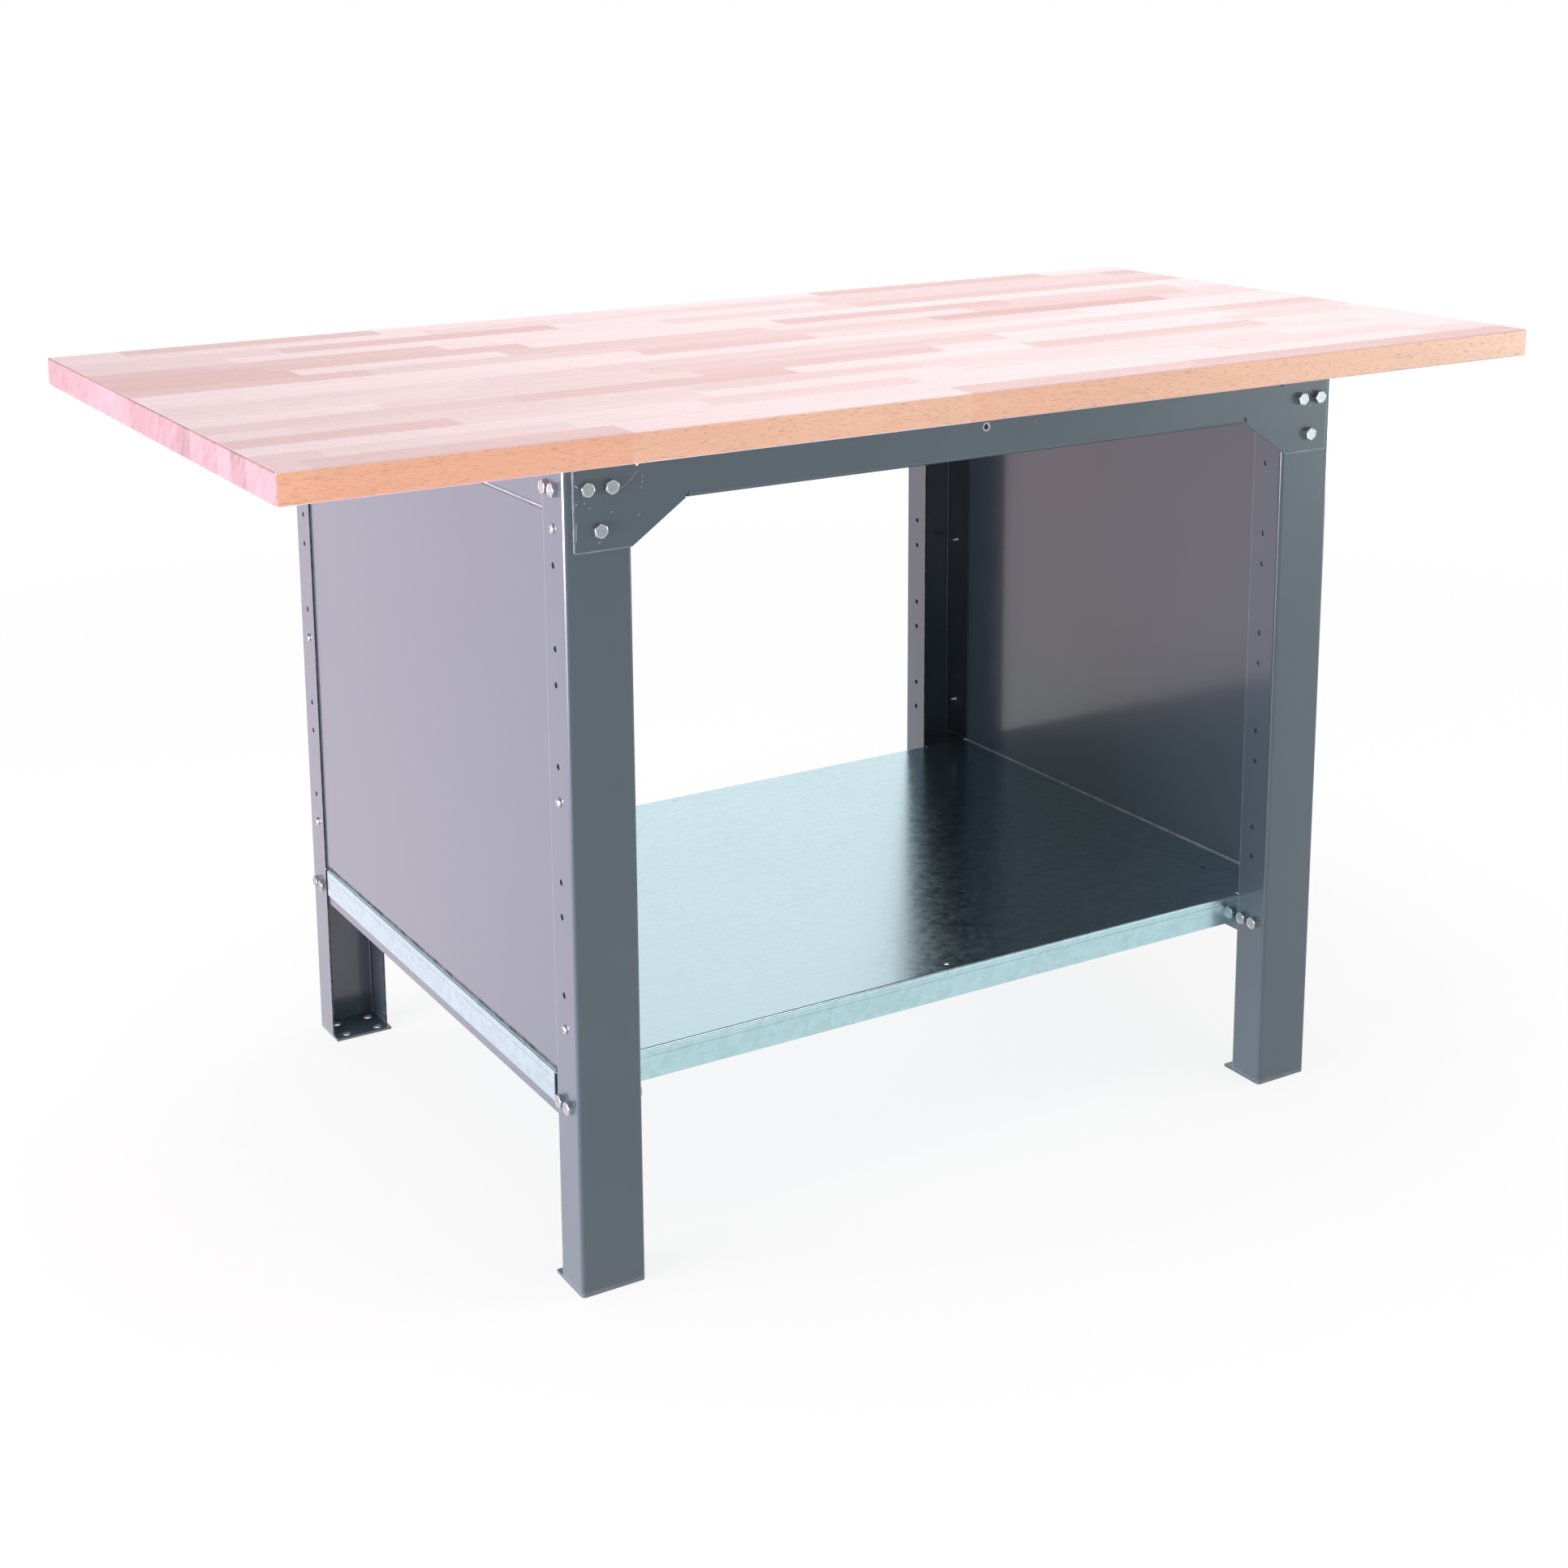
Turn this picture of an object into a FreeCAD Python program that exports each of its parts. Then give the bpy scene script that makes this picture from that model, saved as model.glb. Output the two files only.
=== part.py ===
"""Workshop bench: a solid beech worktop bolted to a frame of folded sheet steel with a shelf.

Millimetres, +X to the right, the front at -Y, +Z up, the floor at zero.
"""
import FreeCAD
import Part
import Sketcher
import math
import os
from types import SimpleNamespace

SIZES = {
    # worktop
    "top_length": 1500.0,
    "top_depth": 750.0,
    "top_thick": 30.0,
    "top_chamfer": 1.2,
    # bench, and how far the worktop stands over the legs
    "bench_height": 860.0,
    "end_overhang": 277.5,
    "front_overhang": 25.0,
    # legs, folded channels that open towards the middle of the end frame
    "leg_width": 70.0,
    "leg_depth": 44.0,
    "leg_sheet": 2.0,
    "leg_bend": 2.0,
    # column of paired holes in both flanges of a leg
    "column_from_web": 24.5,
    "column_from_top": 62.0,
    "column_pitch": 115.0,
    "column_pair": 35.0,
    "column_hole": 6.0,
    # foot plates
    "foot_sheet": 3.0,
    "foot_reach": 13.5,
    "foot_hole": 10.0,
    "foot_hole_across": 40.0,
    "foot_hole_along": 32.0,
    "foot_hole_edge": 9.5,
    # front and rear rails with gusset ends
    "rail_sheet": 2.5,
    "rail_bend": 2.0,
    "rail_drop": 43.0,
    "rail_lip": 20.0,
    "rail_fold": 22.0,
    "rail_fold_gap": 8.0,
    "relief_width": 4.0,
    "relief_height": 7.0,
    "gusset_inset": 9.0,
    "gusset_drop": 83.0,
    "gusset_foot": 59.0,
    "gusset_run": 58.0,
    "gusset_chamfer": 1.5,
    "rail_hole": 6.0,
    "rail_hole_drop": 11.0,
    # bolts of the rails, three at each gusset
    "rail_bolt_pitch": 25.0,
    "rail_bolt_drop": 23.0,
    "rail_bolt_rise": 20.0,
    # cross rails, folded channels inside the ends of the legs
    "cross_height": 44.0,
    "cross_sheet": 2.0,
    "cross_bend": 2.0,
    "cross_bolt_drop": 24.0,
    "cross_bolt_from_web": 17.0,
    "cross_bolt_pitch": 18.0,
    # end panels
    "panel_sheet": 1.0,
    "panel_bend": 2.0,
    "panel_fold": 15.0,
    "panel_edge_gap": 1.0,
    "panel_head_gap": 0.5,
    # shelf tray
    "shelf_height": 220.0,
    "shelf_sheet": 1.2,
    "shelf_bend": 2.3,
    "shelf_lip": 32.5,
    "shelf_proud": 0.5,
    "shelf_gap": 0.5,
    "shelf_slot": 2.0,
    "shelf_slot_depth": 6.0,
    "shelf_lip_end": 6.0,
    "shelf_hole": 5.0,
    "shelf_hole_edge": 14.0,
    "shelf_hole_end": 49.0,
    "shelf_hole_side": 84.0,
    # hexagon bolts and nuts of the frame
    "bolt_dia": 8.0,
    "bolt_hole": 9.0,
    "bolt_head": 5.3,
    "bolt_flats": 13.0,
    "bolt_length": 16.0,
    "nut_height": 6.5,
    # pan head screws of the end panels, which cut their own thread
    "screw_dia": 5.0,
    "screw_head": 10.0,
    "screw_head_height": 3.0,
    "screw_length": 12.0,
    # wood screws that hold the worktop from below
    "wood_screw_dia": 5.0,
    "wood_screw_hole": 6.0,
    "wood_screw_head": 10.0,
    "wood_screw_head_height": 3.0,
    "wood_screw_bite": 22.0,
    "wood_screw_rail_span": 600.0,
    "wood_screw_cross_span": 400.0,
    # clearances and the overrun of cuts
    "fit_gap": 0.2,
    "overrun": 5.0,
}
COLUMN_PAIRS = 5
HEXAGON_SIDES = 6
SHANK_SIDES = 6
HOLE_SIDES = 8
MATCH_GAP = Part.Precision.confusion() * 100

doc = FreeCAD.newDocument("Workbench")
sheet = doc.addObject("Spreadsheet::Sheet", "sizes")
for row, (alias, number) in enumerate(SIZES.items(), start=1):
    sheet.set(f"A{row}", alias)
    sheet.set(f"B{row}", str(number))
    sheet.setAlias(f"B{row}", alias)
doc.recompute()


class Size:
    """A length known both as a number and as an expression on the sheet."""

    def __init__(self, text, value):
        self.text = text
        self.value = value

    def __add__(self, other):
        other = as_size(other)
        return Size(f"({self.text} + {other.text})", self.value + other.value)

    def __sub__(self, other):
        other = as_size(other)
        return Size(f"({self.text} - {other.text})", self.value - other.value)

    def __mul__(self, share):
        return Size(f"({self.text} * {share})", self.value * share)

    def __truediv__(self, share):
        return Size(f"({self.text} / {share})", self.value / share)

    def __neg__(self):
        return Size(f"(0 - {self.text})", -self.value)

    __radd__ = __add__
    __rmul__ = __mul__


def as_size(length):
    """A length as a Size; a bare zero becomes one too."""
    return length if isinstance(length, Size) else Size(str(length), length)


d = SimpleNamespace(**{alias: Size(f"sizes.{alias}", float(sheet.get(alias))) for alias in SIZES})

# levels and planes that several pieces share
frame_top = d.bench_height - d.top_thick
half_length = d.top_length / 2 - d.end_overhang
half_depth = (d.top_depth - d.front_overhang) / 2
leg_middle = half_length - d.leg_width / 2
leg_bend_outer = d.leg_bend + d.leg_sheet
shelf_under = d.shelf_height - d.shelf_sheet
cross_width = d.leg_width - (d.leg_sheet + d.fit_gap) * 2
cross_half_width = cross_width / 2
cross_half = half_depth - leg_bend_outer - d.fit_gap
cross_bolt_y = [half_depth - d.cross_bolt_from_web,
                half_depth - d.cross_bolt_from_web - d.cross_bolt_pitch]
rail_half = half_length - d.gusset_inset
gusset_inner = rail_half - d.gusset_foot
arch_half = gusset_inner - d.gusset_run
screw_drops = [as_size(0), d.column_pitch * 2 + d.column_pair, d.column_pitch * 4 + d.column_pair]
screw_y = half_depth - d.column_from_web
shelf_half_y = half_depth - d.leg_depth - d.shelf_gap
long_lip = half_length - d.leg_width
fold_half = long_lip - d.rail_fold_gap

# the frame stands off the middle in depth, so that the origin is under the middle of the whole bench
front_reach = d.top_depth - half_depth
rear_reach = half_depth + d.rail_sheet + d.bolt_head
frame_y = (front_reach - rear_reach) / 2


def bind(feature, path, length):
    """Tie one size of a feature to the sheet."""
    feature.setExpression(path, as_size(length).text)


def new_body(label, x=0, y=frame_y, z=0, turn=0.0):
    """A body with its label, turned about the vertical and placed in the bench."""
    body = doc.addObject("PartDesign::Body", label)
    body.Label = label
    body.Placement = FreeCAD.Placement(
        FreeCAD.Vector(as_size(x).value, as_size(y).value, as_size(z).value),
        FreeCAD.Rotation(FreeCAD.Vector(0, 0, 1), turn))
    for axis, length in zip("xyz", (x, y, z)):
        bind(body, f"Placement.Base.{axis}", length)
    return body


class Drawing:
    """A sketch on one of a body's origin planes, moved along the plane's normal.

    Its lines and their rules are gathered first and added together when the sketch is closed.
    """

    def __init__(self, body, plane, offset=0):
        self.sketch = body.newObject("Sketcher::SketchObject", f"{body.Name}_sketch")
        support = next(item for item in body.Origin.OriginFeatures if item.Role == plane)
        self.sketch.AttachmentSupport = [(support, "")]
        self.sketch.MapMode = "FlatFace"
        bind(self.sketch, "AttachmentOffset.Base.z", offset)
        self.shapes = []
        self.rules = []
        self.ties = []

    def tie(self, length, *rule):
        """A rule whose length follows the sheet."""
        self.ties.append((len(self.rules), length))
        self.rules.append(Sketcher.Constraint(*rule, length.value))

    def pin(self, shape, position, x, y):
        """Hold a point of a shape at a place given in sizes."""
        for kind, length, axis in (("DistanceX", as_size(x), -2), ("DistanceY", as_size(y), -1)):
            if length.value == 0:
                self.rules.append(Sketcher.Constraint("PointOnObject", shape, position, axis))
            else:
                self.tie(length, kind, -1, 1, shape, position)

    def outline(self, points):
        """A closed outline of straight lines through points given in sizes."""
        first = len(self.shapes)
        ends = [FreeCAD.Vector(as_size(x).value, as_size(y).value, 0) for x, y in points]
        self.shapes += [Part.LineSegment(start, end) for start, end in zip(ends, ends[1:] + ends[:1])]
        for index, (x, y) in enumerate(points):
            before = first + (index - 1) % len(points)
            self.rules.append(Sketcher.Constraint("Coincident", before, 2, first + index, 1))
            self.pin(first + index, 1, x, y)

    def rectangle(self, left, low, right, high):
        """An upright rectangle between four sizes."""
        self.outline([(left, low), (right, low), (right, high), (left, high)])

    def polygon(self, x, y, corner, sides):
        """A regular polygon with level sides, from its centre and the distance of its corners."""
        turns = [math.pi * (2 * side - sides // 2 + 1) / sides for side in range(sides)]
        self.outline([(x + corner * math.cos(turn), y + corner * math.sin(turn)) for turn in turns])

    def hexagon(self, x, y, flats):
        """A hexagon, from its width over flats."""
        self.polygon(x, y, flats / math.sqrt(3), HEXAGON_SIDES)

    def hole(self, x, y, diameter, sides):
        """A small round hole drawn with a few flats, which touch its circle."""
        self.polygon(x, y, diameter / 2 / math.cos(math.pi / sides), sides)

    def circle(self, x, y, diameter):
        """A circle with its centre and diameter given in sizes."""
        shape = len(self.shapes)
        centre = FreeCAD.Vector(as_size(x).value, as_size(y).value, 0)
        self.shapes.append(Part.Circle(centre, FreeCAD.Vector(0, 0, 1), diameter.value / 2))
        self.pin(shape, 3, x, y)
        self.tie(diameter, "Diameter", shape)

    def close(self):
        """Add what was gathered, and return the sketch."""
        self.sketch.addGeometry(self.shapes)
        self.sketch.addConstraint(self.rules)
        for index, length in self.ties:
            bind(self.sketch, f"Constraints[{index}]", length)
        return self.sketch


def add_pad(body, drawing, length, backwards=False):
    """Material raised from a sketch along its normal, or backwards."""
    pad = body.newObject("PartDesign::Pad", f"{body.Name}_pad")
    pad.Profile = drawing.close()
    pad.Reversed = backwards
    bind(pad, "Length", length)
    doc.recompute()
    return pad


def add_pocket(body, drawing, along_normal, depth=None):
    """A cut from a sketch, right through or to a depth; it must take material away."""
    before = body.Shape.Volume
    pocket = body.newObject("PartDesign::Pocket", f"{body.Name}_pocket")
    pocket.Profile = drawing.close()
    pocket.Reversed = along_normal
    if depth is None:
        pocket.Type = "ThroughAll"
    else:
        bind(pocket, "Length", depth)
    doc.recompute()
    if not body.Shape.Volume < before:
        raise RuntimeError(f"{body.Label}: a pocket cut nothing")
    return pocket


def edges_along(feature, axis, places, reach=None):
    """Names of a feature's straight edges along an axis, at places in the other two coordinates.

    With a reach, only the edges that stay that close to the middle count.
    """
    lead = "xyz".index(axis)
    wanted = [[as_size(length).value for length in place] for place in places]
    names = []
    for index, edge in enumerate(feature.Shape.Edges, start=1):
        start, end = (list(vertex.Point) for vertex in (edge.Vertexes[0], edge.Vertexes[-1]))
        far = max(abs(start.pop(lead)), abs(end.pop(lead)))
        near = reach is None or far < reach.value + MATCH_GAP
        if near and any(math.dist(start, place) + math.dist(end, place) < MATCH_GAP for place in wanted):
            names.append(f"Edge{index}")
    return names


def add_fillet(body, feature, names, radius):
    """A rounding of some of a feature's edges."""
    if not names:
        raise RuntimeError(f"{body.Label}: no edge to round")
    fillet = body.newObject("PartDesign::Fillet", f"{body.Name}_fillet")
    fillet.Base = (feature, names)
    bind(fillet, "Radius", radius)
    doc.recompute()
    return fillet


def add_chamfer(body, feature, names, size):
    """A bevel along some of a feature's edges."""
    if not names:
        raise RuntimeError(f"{body.Label}: no edge to bevel")
    chamfer = body.newObject("PartDesign::Chamfer", f"{body.Name}_chamfer")
    chamfer.Base = (feature, names)
    bind(chamfer, "Size", size)
    doc.recompute()
    return chamfer


def add_pattern(body, feature, drawing, pitch, count):
    """Copies of a feature down the sketch's vertical axis."""
    pattern = body.newObject("PartDesign::LinearPattern", f"{body.Name}_pattern")
    pattern.Originals = [feature]
    pattern.Direction = (drawing.sketch, ["V_Axis"])
    pattern.Reversed = True
    pattern.Occurrences = count
    bind(pattern, "Length", pitch * (count - 1))
    body.Tip = pattern
    doc.recompute()
    return pattern


def fold(body, feature, axis, outer, inner, bend, thickness, reach=None):
    """The bend of folded sheet: the outer edges round to one sheet more than the inner ones."""
    rounded = add_fillet(body, feature, edges_along(feature, axis, outer, reach), bend + thickness)
    return add_fillet(body, rounded, edges_along(rounded, axis, inner, reach), bend)


def rail_bolt_centres():
    """Places of the three bolts at each gusset, across the bench and up."""
    high = frame_top - d.rail_bolt_drop
    low = frame_top - d.gusset_drop + d.rail_bolt_rise
    spots = [(-d.rail_bolt_pitch / 2, high), (d.rail_bolt_pitch / 2, high), (as_size(0), low)]
    return [(middle + x, z) for middle in (-leg_middle, leg_middle) for x, z in spots]


def cross_bolt_centres(*tops):
    """Places of the bolts that hold the cross rails with these tops at one end, in depth and up."""
    heights = [top - d.cross_bolt_drop for top in tops]
    return [(y * side, z) for z in heights for side in (-1, 1) for y in cross_bolt_y]


def screw_centres():
    """Places of the screws of one end panel, in depth and up."""
    first = frame_top - d.column_from_top
    return [(screw_y * side, first - drop) for side in (-1, 1) for drop in screw_drops]


def make_worktop():
    """The glued beech slab, its rear edge over the rear faces of the legs."""
    body = new_body("worktop", z=frame_top)
    half = d.top_length / 2
    sketch = Drawing(body, "XY_Plane")
    sketch.rectangle(-half, half_depth - d.top_depth, half, half_depth)
    slab = add_pad(body, sketch, d.top_thick)
    add_chamfer(body, slab, [f"Edge{index + 1}" for index in range(len(slab.Shape.Edges))], d.top_chamfer)
    pilots = Drawing(body, "XY_Plane")
    for x, y in rail_screw_centres() + cross_screw_centres():
        pilots.hole(x, y, d.wood_screw_dia + d.fit_gap * 2, SHANK_SIDES)
    add_pocket(body, pilots, True, d.wood_screw_bite + d.fit_gap)


def rail_screw_centres():
    """Places in plan of the wood screws through the folds of both rails, the front ones first."""
    return [(d.wood_screw_rail_span / 2 * side, fold_line() * end) for end in (-1, 1) for side in (-1, 1)]


def cross_screw_centres():
    """Places in plan of the wood screws through both upper cross rails."""
    span = d.wood_screw_cross_span / 2
    return [(leg_middle * side, span * end) for side in (-1, 1) for end in (-1, 1)]


def fold_line():
    """Depth of the screw holes in a rail's top fold, from the middle of the frame."""
    return half_depth + d.rail_sheet - d.rail_fold / 2 - d.rail_bend / 2


def make_leg(label, side, end):
    """A channel with a web at the front or rear, bolt holes and two columns of paired holes."""
    turn = 0.0 if end < 0 else 180.0
    body = new_body(label, leg_middle * side, frame_y + half_depth * end, turn=turn)
    half = d.leg_width / 2
    profile = Drawing(body, "XY_Plane")
    profile.outline([
        (-half, 0), (half, 0), (half, d.leg_depth), (half - d.leg_sheet, d.leg_depth),
        (half - d.leg_sheet, d.leg_sheet), (d.leg_sheet - half, d.leg_sheet),
        (d.leg_sheet - half, d.leg_depth), (-half, d.leg_depth)])
    channel = add_pad(body, profile, frame_top)
    fold(body, channel, "z", [(-half, 0), (half, 0)],
         [(d.leg_sheet - half, d.leg_sheet), (half - d.leg_sheet, d.leg_sheet)], d.leg_bend, d.leg_sheet)

    seat = Drawing(body, "YZ_Plane", -half - d.overrun)
    seat.rectangle(leg_bend_outer, -d.overrun, d.leg_depth + d.overrun, d.foot_sheet)
    add_pocket(body, seat, True)

    web_holes = Drawing(body, "XZ_Plane")
    for x, z in rail_bolt_centres()[:len(rail_bolt_centres()) // 2]:
        web_holes.hole(x + leg_middle, z, d.bolt_hole, SHANK_SIDES)
    add_pocket(body, web_holes, False)

    flange_holes = Drawing(body, "YZ_Plane", -half - d.overrun)
    for y, z in cross_bolt_centres(frame_top, shelf_under):
        if y.value > 0:
            flange_holes.hole(half_depth - y, z, d.bolt_hole, SHANK_SIDES)
    add_pocket(body, flange_holes, True)

    pair = Drawing(body, "YZ_Plane", -half - d.overrun)
    for drop in (d.column_from_top, d.column_from_top + d.column_pair):
        pair.hole(d.column_from_web, frame_top - drop, d.column_hole, HOLE_SIDES)
    holes = add_pocket(body, pair, True)
    add_pattern(body, holes, pair, d.column_pitch, COLUMN_PAIRS)


def make_foot(label, side, end):
    """A plate under the flanges of a leg, reaching past their free edges, with four holes."""
    turn = 0.0 if end < 0 else 180.0
    body = new_body(label, leg_middle * side, frame_y + half_depth * end, turn=turn)
    half = d.leg_width / 2
    front = d.leg_depth + d.foot_reach
    plan = Drawing(body, "XY_Plane")
    plan.rectangle(-half, leg_bend_outer, half, front)
    add_pad(body, plan, d.foot_sheet)
    holes = Drawing(body, "XY_Plane")
    for x in (-d.foot_hole_across / 2, d.foot_hole_across / 2):
        for y in (front - d.foot_hole_edge, front - d.foot_hole_edge - d.foot_hole_along):
            holes.circle(x, y, d.foot_hole)
    add_pocket(body, holes, True)


def make_rail(label, end):
    """A rail with gusset ends: a folded lip below and a fold for screws above, both with reliefs."""
    turn = 0.0 if end < 0 else 180.0
    body = new_body(label, 0, frame_y + (half_depth + d.rail_sheet) * end, frame_top, turn)
    lip_half = arch_half - d.relief_width
    lip_relief = d.relief_height - d.rail_drop
    fold_end = fold_half + d.relief_width
    right = [
        (fold_half, 0), (fold_half, -d.relief_height), (fold_end, -d.relief_height), (fold_end, 0),
        (rail_half, 0), (rail_half, -d.gusset_drop), (gusset_inner, -d.gusset_drop),
        (arch_half, -d.rail_drop), (arch_half, lip_relief), (lip_half, lip_relief), (lip_half, -d.rail_drop)]
    left = [(-x, z) for x, z in reversed(right)]
    face = Drawing(body, "XZ_Plane")
    face.outline(right + left)
    plate = add_pad(body, face, d.rail_sheet, backwards=True)
    corners = [(rail_half, -d.gusset_drop), (-rail_half, -d.gusset_drop),
               (gusset_inner, -d.gusset_drop), (-gusset_inner, -d.gusset_drop)]
    add_chamfer(body, plate, edges_along(plate, "y", corners), d.gusset_chamfer)

    folds = Drawing(body, "YZ_Plane", -lip_half)
    folds.rectangle(0, -d.rail_drop, d.rail_lip, d.rail_sheet - d.rail_drop)
    lip = add_pad(body, folds, lip_half * 2)
    lip = fold(body, lip, "x", [(0, -d.rail_drop)], [(d.rail_sheet, d.rail_sheet - d.rail_drop)],
               d.rail_bend, d.rail_sheet)
    folds = Drawing(body, "YZ_Plane", -fold_half)
    folds.rectangle(0, -d.rail_sheet, d.rail_fold, 0)
    top = add_pad(body, folds, fold_half * 2)
    fold(body, top, "x", [(0, 0)], [(d.rail_sheet, -d.rail_sheet)], d.rail_bend, d.rail_sheet, fold_half)

    holes = Drawing(body, "XZ_Plane")
    for x, z in rail_bolt_centres():
        holes.hole(x, z - frame_top, d.bolt_hole, SHANK_SIDES)
    holes.hole(as_size(0), -d.rail_hole_drop, d.rail_hole, HOLE_SIDES)
    add_pocket(body, holes, False, d.rail_sheet + d.fit_gap)
    screws = Drawing(body, "XY_Plane", d.overrun)
    for x in (-d.wood_screw_rail_span / 2, d.wood_screw_rail_span / 2):
        screws.hole(x, half_depth + d.rail_sheet - fold_line(), d.wood_screw_hole, SHANK_SIDES)
    add_pocket(body, screws, False, d.overrun + d.rail_sheet + d.fit_gap)


def make_cross_rail(label, side, top, plan_holes, hole):
    """A channel that opens downwards between the front and rear legs of one end."""
    body = new_body(label, leg_middle * side, frame_y, top)
    half = cross_half_width
    skin = d.cross_sheet
    profile = Drawing(body, "XZ_Plane", -cross_half)
    profile.outline([
        (-half, -d.cross_height), (skin - half, -d.cross_height), (skin - half, -skin),
        (half - skin, -skin), (half - skin, -d.cross_height), (half, -d.cross_height),
        (half, 0), (-half, 0)])
    channel = add_pad(body, profile, cross_half * 2)
    fold(body, channel, "y", [(-half, 0), (half, 0)], [(skin - half, -skin), (half - skin, -skin)],
         d.cross_bend, skin)
    bolts = Drawing(body, "YZ_Plane", -half - d.overrun)
    for y in cross_bolt_y:
        for end in (-1, 1):
            bolts.hole(y * end, -d.cross_bolt_drop, d.bolt_hole, SHANK_SIDES)
    add_pocket(body, bolts, True)
    web = Drawing(body, "XY_Plane", d.overrun)
    for x, y in plan_holes:
        web.hole(x, y, hole, SHANK_SIDES)
    add_pocket(body, web, False)


def make_panel(label, side):
    """A sheet inside the outer flanges of one end, folded inwards at its head."""
    outer = half_length - d.leg_sheet
    body = new_body(label, outer * side, frame_y, d.shelf_height)
    half = half_depth - leg_bend_outer - d.panel_edge_gap
    height = frame_top - d.cross_height - d.panel_head_gap - d.shelf_height
    skin = d.panel_sheet * side
    profile = Drawing(body, "XZ_Plane", -half)
    profile.outline([
        (0, 0), (0, height), (-d.panel_fold * side, height), (-d.panel_fold * side, height - d.panel_sheet),
        (-skin, height - d.panel_sheet), (-skin, 0)])
    bent = add_pad(body, profile, half * 2)
    fold(body, bent, "y", [(0, height)], [(-skin, height - d.panel_sheet)], d.panel_bend, d.panel_sheet)
    holes = Drawing(body, "YZ_Plane", d.overrun)
    for y, z in screw_centres():
        holes.hole(y, z - d.shelf_height, d.screw_dia + d.fit_gap * 2, SHANK_SIDES)
    add_pocket(body, holes, False, d.overrun * 2)


def make_shelf():
    """A tray with its lips turned down: long lips between the legs, end lips outside the cross rails."""
    body = new_body("shelf", z=d.shelf_height)
    half_x = half_length + d.shelf_proud
    half_y = shelf_half_y
    end_lip = half_y - d.shelf_lip_end
    slot = d.shelf_slot
    depth = d.shelf_slot_depth
    corner = [
        (long_lip, -half_y), (long_lip, depth - half_y), (long_lip + slot, depth - half_y),
        (long_lip + slot, -half_y), (half_x, -half_y), (half_x, -end_lip - slot),
        (half_x - depth, -end_lip - slot), (half_x - depth, -end_lip), (half_x, -end_lip)]
    right = corner + [(x, -y) for x, y in reversed(corner)]
    plan = Drawing(body, "XY_Plane")
    plan.outline(right + [(-x, y) for x, y in reversed(right)])
    add_pad(body, plan, d.shelf_sheet, backwards=True)

    lips = Drawing(body, "XY_Plane")
    for side in (-1, 1):
        edges_y = sorted((half_y * side, (half_y - d.shelf_sheet) * side), key=lambda size: size.value)
        lips.rectangle(-long_lip, edges_y[0], long_lip, edges_y[1])
        edges_x = sorted((half_x * side, (half_x - d.shelf_sheet) * side), key=lambda size: size.value)
        lips.rectangle(edges_x[0], -end_lip, edges_x[1], end_lip)
    tray = add_pad(body, lips, d.shelf_lip, backwards=True)
    inner_x = half_x - d.shelf_sheet
    inner_y = half_y - d.shelf_sheet
    tray = fold(body, tray, "x", [(-half_y, 0), (half_y, 0)],
                [(-inner_y, -d.shelf_sheet), (inner_y, -d.shelf_sheet)], d.shelf_bend, d.shelf_sheet,
                long_lip)
    fold(body, tray, "y", [(-half_x, 0), (half_x, 0)],
         [(-inner_x, -d.shelf_sheet), (inner_x, -d.shelf_sheet)], d.shelf_bend, d.shelf_sheet, end_lip)

    holes = Drawing(body, "XY_Plane", d.overrun)
    for x, y in shelf_hole_centres():
        holes.hole(x, y, d.shelf_hole, HOLE_SIDES)
    add_pocket(body, holes, False, d.overrun + d.shelf_sheet + d.fit_gap)


def shelf_hole_centres():
    """Places of the shelf's holes: over the cross rails, and in the middle of the long edges."""
    ends = [((half_length - d.shelf_hole_end) * side, (shelf_half_y - d.shelf_hole_side) * end)
            for side in (-1, 1) for end in (-1, 1)]
    return ends + [(as_size(0), (shelf_half_y - d.shelf_hole_edge) * end) for end in (-1, 1)]


def make_bolts(label, plane, seat, outwards, centres):
    """Hexagon bolts in one plane, their heads outwards from the seat."""
    body = new_body(label)
    heads = Drawing(body, plane, seat)
    shanks = Drawing(body, plane, seat)
    for x, y in centres:
        heads.hexagon(x, y, d.bolt_flats)
        shanks.polygon(x, y, d.bolt_dia / 2, SHANK_SIDES)
    add_pad(body, heads, d.bolt_head, backwards=not outwards)
    add_pad(body, shanks, d.bolt_length, backwards=outwards)


def make_nuts(label, plane, seat, outwards, centres):
    """Hexagon nuts in one plane, raised from their seat."""
    body = new_body(label)
    rings = Drawing(body, plane, seat)
    for x, y in centres:
        rings.hexagon(x, y, d.bolt_flats)
        rings.hole(x, y, d.bolt_dia + d.fit_gap * 2, SHANK_SIDES)
    add_pad(body, rings, d.nut_height, backwards=not outwards)


def make_pan_screws(label, plane, seat, outwards, centres, head, height, thread, length):
    """Round headed screws in one plane, their heads outwards from the seat."""
    body = new_body(label)
    heads = Drawing(body, plane, seat)
    shanks = Drawing(body, plane, seat)
    for x, y in centres:
        heads.polygon(x, y, head / 2, HOLE_SIDES)
        shanks.polygon(x, y, thread / 2, SHANK_SIDES)
    add_pad(body, heads, height, backwards=not outwards)
    add_pad(body, shanks, length, backwards=outwards)


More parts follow.
